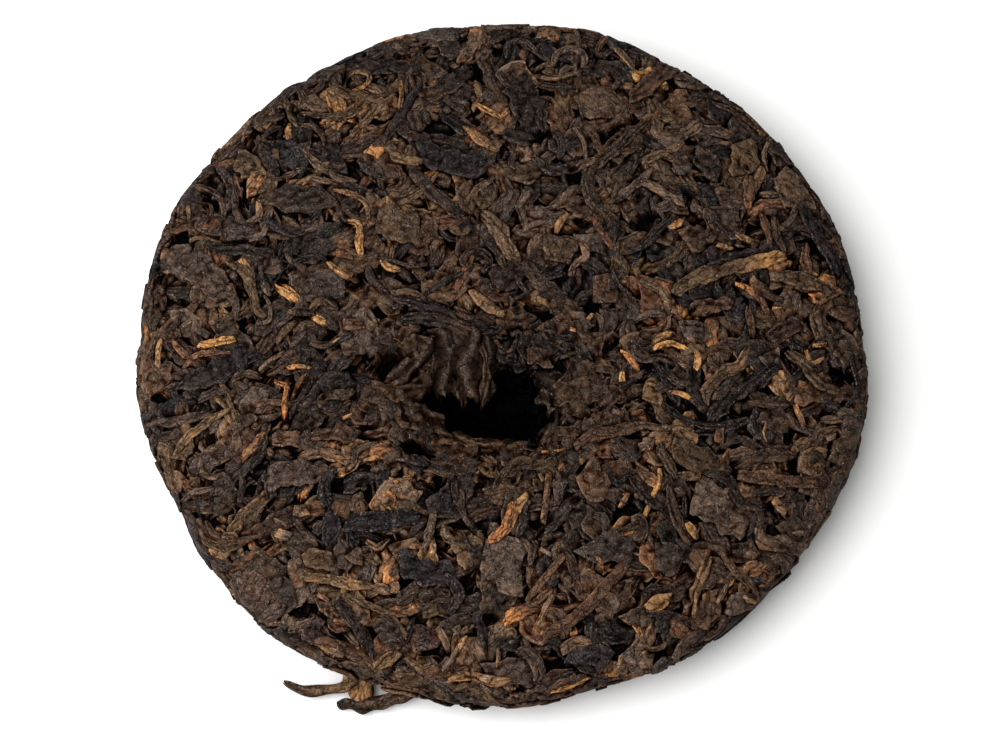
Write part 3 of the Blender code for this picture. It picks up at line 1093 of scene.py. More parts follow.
def leaf_tubes(shapes: list[tuple[int, int]], turned: bool) -> tuple[Array, Array]:
    """Faces of leaves whose points follow one another, each a closed tube with a face over each end.

    Args:
        shapes: stations and columns of each leaf.
        turned: True for the lower side, whose chart is seen from behind.

    Returns:
        The loops of all faces and the size of each.
    """
    loops, sizes, offset = [], [], 0
    for stations, columns in shapes:
        quads = ring_quads(stations, columns)
        start = np.arange(columns)
        stop = (stations - 1) * columns + start[::-1]
        if turned:
            quads, start, stop = quads[:, ::-1], start[::-1], stop[::-1]
        loops.append(np.concatenate([quads.ravel(), start, stop]) + offset)
        sizes.append(np.concatenate([np.full(len(quads), 4), [columns, columns]]))
        offset += stations * columns
    return np.concatenate(loops), np.concatenate(sizes)


@dataclass
class LeafLayer:
    """The pressed leaves of one side, made into one piece for each kind. Lengths are in mm."""

    press: Press
    finishes: dict[str, bpy.types.Material]
    inset: float = 0.0
    shift_reach: float = 500.0

    def build(self) -> list[bpy.types.Object]:
        """Gathers the leaves that show by kind and makes their pieces.

        Returns:
            The pieces.
        """
        groups: dict[str, list[tuple[PressedLeaf, Array, Array]]] = {}
        for shown in self.press.visible():
            groups.setdefault(shown[0].kind.name, []).append(shown)
        return [self.piece(name, group) for name, group in groups.items()]

    def piece(self, name: str, group: list[tuple[PressedLeaf, Array, Array]]) -> bpy.types.Object:
        """One piece of many leaves.

        Args:
            name: the kind's name.
            group: the leaves with their lift and relief.

        Returns:
            The piece.
        """
        side, skin = self.press.side, self.press.skin
        leaves = [leaf for leaf, _, _ in group]
        counts = [leaf.u.size for leaf in leaves]
        u, v, tone, across, along = (
            np.concatenate([getattr(leaf, part).ravel() for leaf in leaves])
            for part in ("u", "v", "tone", "across", "along")
        )
        lift, relief = (np.concatenate([shown[part].ravel() for shown in group]) for part in (1, 2))
        # painted shade in the hollows of the dimple, darker with depth
        if side is Side.BACK:
            relief = relief - skin.shade(u, v)
        shift = np.repeat(self.press.draw.uniform(0, self.shift_reach, (len(group), 2)), counts, axis=0)
        points = skin.lifted(side, u, v, lift - self.inset) * MM
        faces = leaf_tubes([leaf.u.shape for leaf in leaves], side is Side.FACE)
        piece = mesh_piece(f"{name}_leaves_{side.value}", points, *faces, self.finishes[name])
        warmth = np.repeat([leaf.warmth for leaf in leaves], counts)
        values = {"tone": tone, "relief": relief, "warmth": warmth}
        dress(piece, values, np.stack([across, along], axis=-1) + shift)
        return piece


@dataclass
class Crust:
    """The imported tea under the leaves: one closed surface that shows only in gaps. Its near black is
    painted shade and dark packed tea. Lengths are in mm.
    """

    skin: Skin
    back: Press
    face: Press
    depth: float = 1.0
    face_extra: float = 0.8
    spokes: int = 330
    pitch: float = 1.5
    relief_spread: float = 1.0
    relief_range: tuple[float, float] = (-0.8, 0.4)
    rim_fade: float = 4.0
    # low tone and relief: near black, painted shade in the gaps and dark crushed leaf
    tone: float = 0.2
    relief: float = -0.45
    warmth: float = 0.6

    def build(self, material: bpy.types.Material) -> bpy.types.Object:
        """Rings round each pole out to the rim, where both halves meet; the lift is the fine relief, lowered.

        Args:
            material: the crust's finish.

        Returns:
            The piece.
        """
        turn = np.arange(self.spokes) * 2 * math.pi / self.spokes
        rings = []
        for press in (self.back, self.face):
            rim = self.skin.rim_arc(press.side)
            arcs = np.linspace(self.pitch, rim, int(rim / self.pitch))
            if press is self.face:
                arcs = arcs[-2::-1]
            u, v = arcs[:, None] * np.cos(turn), arcs[:, None] * np.sin(turn)
            swell, near = press.relief.blurred(press.level_spread), press.relief.blurred(self.relief_spread)
            lift = press.relief.sample(u, v, near) - press.relief.sample(u, v, swell)
            fade = np.clip((rim - arcs) / self.rim_fade, 0, 1)[:, None]
            extra = self.face_extra if press is self.face else 0.0
            lift = np.clip(lift, *self.relief_range) * fade - self.depth - extra * fade
            outer = np.clip((arcs - press.rim_from) / (rim - press.rim_from), 0, 1)[:, None]
            lift = lift + outer * np.minimum(self.skin.dent(turn), 0)
            rings.append(self.skin.lifted(press.side, u, v, lift))
        grid = np.concatenate(rings)
        zero = np.zeros(1)
        poles = [self.skin.lifted(side, zero, zero, zero - self.depth) for side in Side]
        points = np.concatenate([grid.reshape(-1, 3), *poles]) * MM
        quads = ring_quads(len(grid), self.spokes)
        here = np.arange(self.spokes)
        after = (here + 1) % self.spokes
        last = (len(grid) - 1) * self.spokes
        top, bottom = (np.full(self.spokes, grid[..., 0].size + pole) for pole in (0, 1))
        upper, lower = (here, after, top), (last + after, last + here, bottom)
        caps = np.concatenate([np.stack(corners, axis=-1) for corners in (upper, lower)])
        loops = np.concatenate([quads.ravel(), caps.ravel()])
        sizes = np.repeat([4, 3], [len(quads), len(caps)])
        piece = mesh_piece("packed_crust", points, loops, sizes, material)
        even = np.ones(len(points))
        values = {"tone": self.tone * even, "relief": self.relief * even, "warmth": self.warmth * even}
        dress(piece, values, points[:, :2] / MM)
        return piece


@dataclass
class Planting:
    """Where the leaves of a side lie: evenly scattered places, bundles that share a heading, tangential rims.

    Lengths are in mm. clear gives how near to the knot hole a kind may lie, 1 being the hole's mouth; tones
    gives how often a leaf's tone lies in which range, as running shares.
    """

    press: Press
    layers: tuple[tuple[LeafKind, int], ...]
    start: float = 2.0
    stop: float = 112.0
    rim_from: float = 86.0
    rim_band: float = 8.0
    rim_tone: float = 0.32
    rim_even: float = 0.4
    rim_gaps: float = 0.25
    scatter: float = 0.9
    heading_scatter: float = 0.55
    rim_scatter: float = 0.4
    mouth_scatter: float = 0.3
    mouth: tuple[float, float] = (0.6, 1.75)
    clear: tuple[tuple[str, float], ...] = (("torn", 0.0), ("shred", 0.8), ("narrow", 0.8))
    clear_of_others: float = 1.25
    patch_power: float = 0.6
    patch_spread: float = 0.45
    patch_middle: float = 0.3
    patch_brightest: float = 0.6
    tones: tuple[tuple[float, float, float], ...] = (
        (0.2, 0.04, 0.2), (0.76, 0.24, 0.46), (0.96, 0.46, 0.6), (0.993, 0.6, 0.72), (1.0, 0.8, 0.95),
    )

    def hole_share(self, u: Array, v: Array) -> Array:
        """Elliptical distance from the middle of the knot hole, 1 at its mouth."""
        hole = self.press.skin.hollows[1]
        return np.hypot((u - hole.centre[0]) / hole.reach[0], (v - hole.centre[1]) / hole.reach[1])

    def hole_heading(self, u: Array, v: Array) -> Array:
        """Direction along the mouth of the knot hole, square to the slope of the elliptical distance.

        Args:
            u: chart coordinates in mm.
            v: chart coordinates in mm.

        Returns:
            Angles in radians.
        """
        hole = self.press.skin.hollows[1]
        slope_u = (u - hole.centre[0]) / hole.reach[0] ** 2
        slope_v = (v - hole.centre[1]) / hole.reach[1] ** 2
        return np.arctan2(slope_u, -slope_v)

    def heading(self, u: Array, v: Array) -> Array:
        """Shared heading of neighbouring leaves: a few crossed sine waves of 30 to 60 mm over the chart."""
        waves = np.sin(u / 7.1 + 1.3 * np.sin(v / 9.3)) + np.sin(v / 8.2 + 1.7 * np.sin(u / 11.0) + 2)
        return 1.5 * waves + 0.5 * np.sin((u - v) / 5.3)

    def patch(self, u: Array, v: Array) -> Array:
        """Lighter and darker patches, 20 to 50 mm across, as crossed sine waves, and a near part painted
        lighter as painted light.
        """
        waves = np.sin(u / 6.3 + 2 * np.sin(v / 8.1)) + np.sin(v / 5.2 + 1.5 * np.sin(u / 7.7) + 1)
        # the second term is painted light on the near part
        return 0.12 * waves + 0.07 * np.clip((-v - 35) / 35, 0, 1)

    def tone(self) -> float:
        """A leaf's tone: mostly dark and mid brown, now and then tan or golden.

        Returns:
            The tone from 0 to 1.
        """
        pick = self.press.draw.random()
        low, high = next((low, high) for share, low, high in self.tones if pick < share)
        return self.press.draw.uniform(low, high)

    def plant(self) -> None:
        """Lays every layer, deepest first, at places that follow the golden angle and are jittered."""
        draw = self.press.draw
        for kind, count in self.layers:
            order = draw.permutation(count)
            away = np.sqrt(self.start**2 + (self.stop**2 - self.start**2) * (order + 0.5) / count)
            angle = order * math.pi * (3 - math.sqrt(5)) + draw.uniform(0, 7)
            jitter = draw.normal(0, self.scatter, (count, 2))
            u, v = away * np.cos(angle) + jitter[:, 0], away * np.sin(angle) + jitter[:, 1]
            heading = self.heading(u, v) + draw.normal(0, self.heading_scatter, count)
            tangent = np.arctan2(v, u) + math.pi / 2 + draw.normal(0, self.rim_scatter, count)
            rim = np.clip((np.hypot(u, v) - self.rim_from) / self.rim_band, 0, 1)
            heading = np.where(draw.random(count) < rim, tangent, heading)
            near = self.hole_share(u, v) if self.press.side is Side.BACK else np.full(count, np.inf)
            mouth = (near > self.mouth[0]) & (near < self.mouth[1]) & (kind is not TORN)
            round_mouth = self.hole_heading(u, v) + draw.normal(0, self.mouth_scatter, count)
            heading = np.where(mouth, round_mouth, heading)
            squeeze = self.press.skin.squeeze(self.press.side, u, v)
            tone = np.array([self.tone() for _ in range(count)])
            tone = tone + (self.rim_tone - tone) * self.rim_even * rim + self.patch(u, v)
            clear = dict(self.clear)
            if kind.name in clear:
                near = np.where((rim > 0.4) & (draw.random(count) < self.rim_gaps), -1, near)
            for number in np.flatnonzero(near > clear.get(kind.name, self.clear_of_others)):
                place = np.array([u[number], v[number]]), heading[number]
                self.press.add(self.press.random_leaf(kind, *place, tone[number], squeeze[number]))

    def plant_patch(
        self, kind: LeafKind, count: int, centre: tuple[float, float], reach: tuple[float, float], tone: float
    ) -> None:
        """Lays leaves of one kind in an elliptical patch, thicker towards its middle.

        Args:
            kind: the kind of leaf.
            count: how many.
            centre: the patch's middle in the chart.
            reach: the patch's half widths in mm.
            tone: the tone about which the leaves' tones lie.
        """
        draw = self.press.draw
        angle, away = draw.uniform(0, 2 * math.pi, count), draw.random(count) ** self.patch_power
        u, v = centre[0] + reach[0] * away * np.cos(angle), centre[1] + reach[1] * away * np.sin(angle)
        squeeze = self.press.skin.squeeze(self.press.side, u, v)
        for number in range(count):
            middle = np.array([u[number], v[number]])
            heading = draw.uniform(0, 2 * math.pi)
            off = self.patch_spread * (min(self.tone(), self.patch_brightest) - self.patch_middle)
            self.press.add(self.press.random_leaf(kind, middle, heading, tone + off, squeeze[number]))


@dataclass
class FreeLeaf:
    """A leaf that leaves the pressed skin: it hangs over the hole or juts from the rim.

    Lengths are in mm and the roll is in radians. A crumple is its size and its turns along and across.
    """

    path: Array
    width: float
    thickness: float
    tones: tuple[float, float]
    draw: np.random.Generator
    roll: float = 0.0
    spacing: float = 0.6
    columns: int = 11
    ragged: float = 0.3
    # light, fold_light and edge_shade set the relief: painted highlight, lighter on fold ridges, painted
    # shade at the edges
    light: float = 0.1
    blunt: float = 0.25
    fringe: float = 0.0
    fold_share: float = 0.22
    fold_light: float = 0.14
    edge_shade: float = 0.25
    fewest_stations: int = 5
    crumples: tuple[tuple[float, float, float], ...] = ((0.2, 1.1, 1.7), (0.14, 2.6, -1.9), (0.1, -1.3, 3.1))

    def grids(self) -> tuple[Array, Array, Array, Array, Array]:
        """The leaf's own grid: points across its path, raised by a rounded section with folds and crumples.

        The half width is a taper (1 - end^4)^0.6 times torn sine waves. The height is (1 - t^6)^0.5 of the
        thickness, plus sharp folds 1 - 2|sin| along the leaf.

        Returns:
            Points, tone, relief, and the distances along and across, a row for each station.
        """
        draw = self.draw
        length = float(np.linalg.norm(np.diff(self.path, axis=0), axis=1).sum())
        stations = max(self.fewest_stations, round(length / self.spacing) + 1)
        line = even_line(self.path, stations)
        way = np.gradient(line, axis=0)
        way /= np.linalg.norm(way, axis=1, keepdims=True)
        side = np.cross(way, (0, 0, 1.0))
        side /= np.linalg.norm(side, axis=1, keepdims=True)
        top = np.cross(side, way)
        turn = math.cos(self.roll), math.sin(self.roll)
        side, top = side * turn[0] + top * turn[1], top * turn[0] - side * turn[1]
        share = np.linspace(0, 1, stations)
        end = np.abs(2 * share - 1)
        taper = self.blunt + (1 - self.blunt) * (1 - end**4) ** 0.6
        t = np.sin(np.linspace(-1, 1, self.columns) * math.pi / 2)[None]
        edges = []
        for _ in range(2):
            waves = np.sin(share[:, None] * length * draw.uniform(0.2, 1.3, 4) + draw.uniform(0, 7, 4))
            edges.append((taper * (1 + self.ragged * 1.5 * waves.mean(axis=1)) * self.width / 2)[:, None])
        across = np.where(t < 0, edges[0], edges[1]) * t
        along = (share * length)[:, None] + 0 * across
        body = (1 - np.abs(t) ** 6) ** 0.5
        sway = 0.3 * np.sin(along / 3.1 + draw.uniform(0, 7))
        fold = 1 - 2 * np.abs(np.sin(math.pi * (0.8 * t + sway + draw.random())))
        height = self.thickness * (body * (1 + self.fold_share * fold) - 0.5)
        for size, by_length, by_width in self.crumples:
            height += size * np.sin(along * by_length + across * by_width + draw.uniform(0, 7)) * body
        points = line[:, None] - side[:, None] * across[..., None] + top[:, None] * height[..., None]
        torn = self.fringe * np.abs(draw.normal(0, 1, self.columns))[None] * body * (share**6)[:, None]
        points += way[:, None] * torn[..., None]
        # paler on fold ridges and darker in fold valleys and at the edges: painted highlight and painted
        # shade
        tone = self.tones[0] + (self.tones[1] - self.tones[0]) * share[:, None] + 0.05 * fold
        relief = self.light + self.fold_light * fold - self.edge_shade * (1 - body)
        return points, tone, relief, along, across


def free_leaves(name: str, leaves: list[FreeLeaf], material: bpy.types.Material) -> bpy.types.Object:
    """One piece of a few leaves that leave the skin.

    Args:
        name: the piece's name.
        leaves: the leaves.
        material: their finish.

    Returns:
        The piece.
    """
    made = [leaf.grids() for leaf in leaves]
    faces = leaf_tubes([leaf[1].shape for leaf in made], False)
    points = np.concatenate([leaf[0].reshape(-1, 3) for leaf in made])
    grids = zip(*(leaf[1:] for leaf in made))
    tone, relief, along, across = (np.concatenate([grid.ravel() for grid in same]) for same in grids)
    points[:, 2] = np.maximum(points[:, 2], FREE_LEAF_GAP)
    piece = mesh_piece(name, points * MM, *faces, material)
    values = {"tone": tone, "relief": relief, "warmth": np.full(len(tone), FREE_LEAF_WARMTH)}
    dress(piece, values, np.stack([across, along], axis=-1))
    return piece


@dataclass(frozen=True)
class EnlargedView:
    """Leaves read in one enlarged view of the photograph.

    Each line gives the kind, the tone in hundredths, the width in mm and then points along the leaf in pixels
    of the enlarged view.
    """

    corner: tuple[int, int]
    zoom: float
    text: str
    fatter: float = 1.1

    def leaves(self, skin: Skin, camera: PhotoCamera, draw: np.random.Generator) -> list[Leaf]:
        """The leaves of the view, placed on the skin under their pixels.

        Args:
            skin: the cake's skin.
            camera: the photograph's camera.
            draw: the source of random numbers for the thickness.

        Returns:
            The leaves.
        """
        made = []
        for line in self.text.strip().splitlines():
            name, tone, width, *places = line.split()
            kind = KINDS[name]
            pixels = np.array([[float(part) for part in place.split(",")] for place in places])
            chart = camera.chart(skin, np.array(self.corner) + pixels / self.zoom)
            thickness = draw.uniform(*kind.thickness) * self.fatter
            made.append(Leaf(kind, chart, float(width), thickness, int(tone) / 100))
        return made


@dataclass
class Studio:
    """A plain pale table and plain soft studio light, the key from above and from the left as in the
    photograph.
    """

    floor_size: float = 2.4
    key_power: float = 7.7
    key_size: float = 0.8
    key_place: tuple[float, float, float] = (-0.34, -0.1, 0.52)
    ambient: float = 0.42
    paper: str = "#f7f7f6"
    paper_roughness: float = 0.9

    def build(self) -> None:
        """Makes the floor, the key light, and an even pale surround, shown by the standard view transform."""
        half = self.floor_size / 2
        corners = np.array([(-1, -1, 0), (1, -1, 0), (1, 1, 0), (-1, 1, 0)]) * half
        material = bpy.data.materials.new("matt_white_paper")
        material.use_nodes = True
        shader = material.node_tree.nodes["Principled BSDF"]
        shader.inputs["Base Color"].default_value = linear(self.paper)
        shader.inputs["Roughness"].default_value = self.paper_roughness
        floor = mesh_piece("studio_floor", corners, np.arange(4), np.array([4]), material)
        data = bpy.data.lights.new("key_softbox", "AREA")
        data.shape, data.size, data.energy = "DISK", self.key_size, self.key_power
        key = bpy.data.objects.new("key_softbox", data)
        bpy.context.scene.collection.objects.link(key)
        place = np.array(self.key_place)
        key.location = place
        away = math.hypot(place[0], place[1])
        key.rotation_euler = (math.atan2(away, place[2]), 0, math.atan2(place[0], -place[1]))
        world = bpy.data.worlds.new("pale_surround")
        world.use_nodes = True
        back = world.node_tree.nodes["Background"]
        back.inputs["Color"].default_value = (1, 1, 1, 1)
        back.inputs["Strength"].default_value = self.ambient
        bpy.context.scene.world = world
        bpy.context.scene.view_settings.view_transform = "Standard"


VIEWS = (
    EnlargedView((120, 0), 3.92, """
flake 42 8.7 180,980 260,1030 350,1080 400,1150
flake 20 8.7 590,750 680,775 770,780 820,750
flake 38 10.0 1000,860 1090,880 1180,900
flake 25 6.7 1120,180 1200,170 1300,190 1330,230
flake 70 4.3 1330,245 1375,190 1400,145
flake 12 4.7 1060,250 1120,262 1180,270
flake 8 6.0 1180,380 1260,350 1340,290 1380,260
flake 10 7.3 1170,600 1280,625 1400,645 1450,640
flake 40 7.3 450,620 500,640 540,690
rolled 45 2.1 700,440 790,450 880,455 950,420
rolled 20 3.0 1190,300 1130,400 1075,480 1030,575
rolled 62 2.7 1080,360 1000,430 930,510 870,570
narrow 75 2.0 1100,310 1102,370 1095,430
bud 82 2.8 658,480 662,545
rolled 62 3.2 1050,600 1120,625 1190,632
bud 74 3.5 1350,490 1420,550 1490,585
narrow 82 2.0 1390,400 1440,430 1500,450 1520,420
rolled 66 2.8 1390,300 1410,370 1380,430
narrow 94 2.4 885,860 930,872 936,940 945,1010
narrow 68 2.1 830,740 900,755 960,790 975,860
rolled 56 2.7 715,580 770,640 850,690 930,710
narrow 62 1.9 740,690 800,705 860,715
narrow 86 2.1 810,1020 850,1060 900,1085
curled 20 3.1 560,850 620,890 690,910 750,880
curled 36 2.5 210,940 190,870 250,780 340,740 400,790 405,880
curled 25 2.1 270,880 295,800 340,795 350,850 300,900
narrow 72 1.6 265,800 272,865
curled 42 2.5 460,720 450,800 490,870 540,850 540,780
rolled 14 3.9 330,960 420,970 520,985 600,990
rolled 62 3.1 470,1010 500,1060 510,1120 520,1170
narrow 30 2.7 550,1020 560,1100 590,1160
curled 60 1.9 880,340 890,295 930,278 975,290 960,330 905,352
rolled 34 3.2 570,440 640,375 720,325
rolled 36 2.8 700,345 720,400 690,430
narrow 42 2.5 640,380 660,430 700,500
narrow 30 2.7 550,500 590,460 640,450
rolled 14 3.7 548,560 580,620 610,690
rolled 22 4.4 1130,660 1200,720 1280,800 1350,850
curled 18 2.7 1385,1062 1345,1020 1378,982 1430,990 1448,1030 1415,1068
narrow 32 1.6 1010,1010 1080,1022 1150,1040 1210,1032
narrow 76 2.4 1020,1010 1060,1048 1105,1052
rolled 12 3.0 970,1040 1000,1110 1050,1150
narrow 26 2.0 940,640 980,680 1050,700
curled 36 2.0 1040,640 1090,650 1100,720 1070,745
narrow 50 2.0 1510,690 1530,760 1500,810
rolled 48 2.7 1270,420 1290,440
narrow 34 2.0 745,480 790,520 800,575
rolled 30 3.1 385,650 420,700 440,770
narrow 44 2.0 500,760 560,740 600,710
"""),
    EnlargedView((480, 0), 3.733, """
flake 3 8.7 130,290 170,370 200,440 200,520
flake 5 4.2 80,490 140,510 205,525
flake 43 11.5 395,330 440,380 490,440
flake 38 5.6 555,365 630,315 720,290
flake 50 7.3 990,520 988,650
flake 34 6.2 330,740 375,770 420,800
flake 40 8.4 300,880 300,980
flake 50 5.6 1080,1050 1150,1040 1250,1055
flake 30 7.7 760,900 830,880 860,860
flake 22 6.3 800,560 860,620 900,650
curled 62 2.7 265,245 300,190 350,180 390,210 385,255
narrow 52 2.4 200,270 230,240 290,235
rolled 54 2.0 200,280 290,288 380,262
rolled 25 2.4 195,312 260,320 360,322
curled 20 2.4 100,220 110,160 160,150 220,190
narrow 76 2.5 495,170 540,210 580,262
narrow 58 2.4 430,200 480,185
rolled 28 4.1 620,450 560,500 490,570 400,640 405,700 450,780 520,820
rolled 60 2.9 650,620 590,680 530,730 480,760
stalk 68 2.9 600,670 660,700 720,740 765,755
rolled 67 3.1 600,600 650,582 700,560 770,530
rolled 56 4.2 650,440 670,500 740,505 830,452
narrow 68 2.0 1060,530 1065,590 1080,640
rolled 40 3.5 1010,650 1000,780
bud 84 2.8 700,850 740,832 755,812
narrow 86 1.9 880,910 950,925
narrow 74 2.3 950,870 1000,892 1030,905
rolled 10 2.8 720,810 660,860 600,920 540,950
rolled 53 5.2 730,1100 800,1040 900,1000 1020,980 1150,950
rolled 15 2.4 850,990 950,950 1050,930
narrow 20 2.8 830,730 880,830 930,880
rolled 44 3.1 1050,790 1075,850 1085,920
narrow 36 2.4 1100,790 1110,880 1140,940
narrow 80 2.4 330,790 300,830 285,870
narrow 76 1.7 340,800 390,806
narrow 72 2.7 380,900 400,950 350,990 335,1030
rolled 62 4.5 0,790 60,840 100,920 150,980
rolled 11 5.0 1200,750 1250,850 1310,950 1350,1030
rolled 32 2.4 860,380 960,420 1060,490
narrow 62 2.0 350,470 390,530 395,600
rolled 18 2.5 270,480 300,530 300,590
rolled 50 2.7 420,480 440,530 460,580
curled 25 3.4 200,580 260,630 350,620 440,590
narrow 50 3.1 140,780 170,730 200,700
narrow 45 3.1 260,780 330,720 380,690
narrow 63 2.9 960,1060 1020,1100 1050,1120
narrow 32 1.8 490,1000 520,1060 570,1100
rolled 44 3.1 650,360 700,420 740,430
narrow 55 2.4 1040,720 1120,725
narrow 24 2.4 90,1000 60,930 20,900
rolled 46 3.5 760,730 700,770 650,780
"""),
    EnlargedView((120, 250), 3.92, """
flake 12 6.7 230,520 330,500 430,450 500,400
flake 50 7.0 570,900 650,880 760,870 830,860
flake 30 5.3 830,700 880,720 930,735
flake 50 4.7 590,745 650,735 710,740
flake 36 7.3 480,640 490,700
rolled 94 2.7 300,370 370,360 455,345
rolled 63 1.9 240,465 300,410 370,400 450,400
narrow 97 1.7 165,340 146,400 150,470
rolled 64 2.3 200,350 240,400 280,430
narrow 70 1.9 240,300 290,270
rolled 45 2.7 290,300 350,335
narrow 90 1.7 650,462 700,455 752,465
narrow 93 2.3 600,512 650,530 645,600 640,668
narrow 90 1.7 735,480 690,530 668,590
rolled 10 2.4 755,480 722,560 685,620 662,665
rolled 42 3.3 110,690 200,670 300,650 380,640
rolled 68 2.7 205,800 260,740 330,680 430,620
narrow 72 1.6 375,580 420,622
curled 66 2.3 312,810 320,870 385,895
rolled 61 2.3 220,990 280,950 370,930
rolled 72 3.9 690,810 760,795 850,805 920,835
rolled 8 4.1 835,850 800,930 815,1010
rolled 7 5.2 815,1010 830,1080 805,1160
rolled 11 5.3 870,1080 980,1062 1080,1055 1180,1040
narrow 78 1.6 920,832 895,862
narrow 84 1.6 870,662 912,640
curled 52 3.1 400,30 480,80 520,160 540,240 575,262
narrow 56 1.6 530,290 585,275 590,230 560,170
rolled 15 2.7 650,240 720,238 775,255
rolled 56 2.5 610,370 650,310 690,270
rolled 52 2.5 660,380 700,345 730,270
rolled 36 2.5 740,360 800,372 860,342
narrow 84 1.5 830,362 862,340
flake 50 3.7 870,290 960,292
rolled 17 4.1 1050,180 1150,200 1250,240 1380,300 1500,310
rolled 57 2.3 1060,170 1120,160 1200,190
bud 69 3.6 1370,150 1430,210 1510,255
narrow 80 1.5 540,472 590,430 650,390
rolled 34 2.8 570,490 640,450 710,420
curled 42 2.3 300,1050 350,1110 450,1140 550,1120
narrow 82 2.0 1050,892 1092,912
narrow 82 1.9 1112,880 1152,908
narrow 86 2.9 1545,980 1520,1050 1500,1100 1450,1150
narrow 60 2.2 1232,1010 1215,1080 1190,1140
narrow 80 1.6 1040,945 1075,970 1070,1012
rolled 46 2.7 430,510 500,480 560,500
rolled 33 2.9 300,590 360,560 430,540
"""),
    EnlargedView((480, 250), 3.733, """
flake 30 7.0 720,700 780,760 870,800 940,800
flake 52 5.5 745,290 840,302
flake 22 5.5 1080,335 1140,295 1200,270
flake 42 4.6 780,230 860,205 950,200
rolled 52 4.6 1080,90 1180,110 1280,132
narrow 86 2.1 640,352 680,318 725,310
narrow 98 2.0 640,372 700,345 750,355 785,375
narrow 95 2.1 800,360 815,400 805,450
narrow 88 2.0 520,370 560,400 595,455
narrow 96 2.4 530,450 530,492
narrow 88 2.0 700,530 745,530 790,555
narrow 76 1.7 620,490 660,506
rolled 58 2.8 580,260 640,230 700,240
narrow 56 2.1 600,292 660,290 700,262
rolled 56 3.8 1010,350 970,430 900,460 850,520 850,580
rolled 10 5.5 860,640 940,540 1030,480 1110,430
rolled 46 3.8 1145,370 1210,420 1270,500 1350,530
narrow 87 1.9 1220,365 1240,420 1290,400
narrow 80 1.8 1240,352 1300,346
narrow 90 1.4 1090,216 1130,214
narrow 61 2.4 950,120 1020,150 1060,200 1080,250
narrow 30 3.1 1010,100 1070,160 1140,190
rolled 8 2.5 680,570 740,620 820,650 920,655
rolled 46 3.5 350,730 420,690 520,670 640,650
flake 68 3.9 600,722 655,712
rolled 46 3.1 665,720 700,790 740,850
flake 50 3.1 895,660 896,722
narrow 90 1.8 905,780 935,735
rolled 61 2.9 1270,632 1330,630 1410,612
narrow 73 1.9 1175,570 1195,620 1215,670
narrow 70 1.0 1040,640 1068,640 1060,680 1075,720
narrow 73 2.7 1290,702 1332,690
rolled 30 3.4 1400,300 1420,380 1430,460
rolled 20 3.1 1380,600 1420,650 1430,720
narrow 46 2.4 1000,200 1012,260 1020,330
narrow 76 2.4 740,200 752,240
rolled 47 2.5 490,600 540,612
rolled 26 2.8 560,560 620,590
rolled 34 3.2 700,460 760,500 790,490
narrow 35 2.4 1290,180 1330,150
rolled 26 3.9 990,450 930,500 880,560
rolled 38 3.1 560,330 600,400 680,400 740,420
"""),
    EnlargedView((120, 430), 3.92, """
flake 50 5.9 712,512 780,505 850,515
flake 29 8.7 470,540 560,560 650,575
flake 27 9.3 520,650 600,650 690,640
flake 16 5.3 870,220 950,195 1000,200
flake 14 7.3 1090,510 1200,560 1320,560
flake 30 6.7 1000,800 1100,785
flake 52 3.7 1180,720 1250,702
rolled 72 3.2 700,580 790,580 900,600 1015,615
rolled 10 3.6 850,660 900,740 960,820 985,900
narrow 70 2.3 770,640 822,670
curled 42 2.9 300,340 340,440 420,460 530,410
curled 38 2.0 330,350 370,410 450,420
rolled 22 3.9 225,310 300,300 365,310
flake 62 3.7 675,310 740,312
narrow 62 2.0 1235,310 1220,390 1190,480
narrow 76 2.5 1240,770 1270,820 1290,880
rolled 73 3.6 990,950 1040,900 1100,870
narrow 61 2.5 1110,890 1160,930 1200,960
rolled 73 2.9 1280,980 1380,962 1450,985 1540,990
narrow 62 2.0 1260,950 1310,880 1360,800
rolled 56 2.9 660,790 720,760 770,740
narrow 73 2.5 800,865 880,886
narrow 76 1.5 690,862 722,850
narrow 66 2.3 960,430 1010,460 1060,420
flake 45 4.9 900,475 955,505
rolled 54 3.6 610,400 670,420
narrow 60 1.9 600,350 660,372
rolled 43 3.9 760,820 850,850 950,900
narrow 14 3.3 760,410 800,350
rolled 22 3.1 1270,560 1330,640 1290,720
"""),
    EnlargedView((360, 300), 6.03, """
torn 36 6.5 1140,580 1290,550 1470,570
torn 44 6.5 220,740 320,700 400,750
torn 48 5.6 470,830 600,840 720,880
torn 36 6.5 120,560 280,540 400,590
torn 44 5.2 740,960 800,1030
torn 56 3.9 180,1060 240,1040
rolled 14 3.9 240,110 400,110 560,150 730,215
rolled 30 2.6 560,40 640,90 700,110
stalk 42 2.7 1290,890 1400,800 1570,790
narrow 72 2.3 250,1065 320,1070
narrow 84 1.6 1090,912 1142,912
narrow 97 0.7 1165,915 1195,890 1230,905
narrow 82 1.9 1260,175 1305,180
narrow 76 1.9 1370,120 1405,70
narrow 74 2.6 820,70 880,80
narrow 60 1.6 595,290 602,370
bud 74 2.0 400,1095 430,1060
narrow 70 1.5 1080,1040 1110,1090
torn 30 5.2 1300,420 1420,430
torn 26 5.2 1000,330 1150,360
torn 33 4.8 1250,660 1400,650
"""),
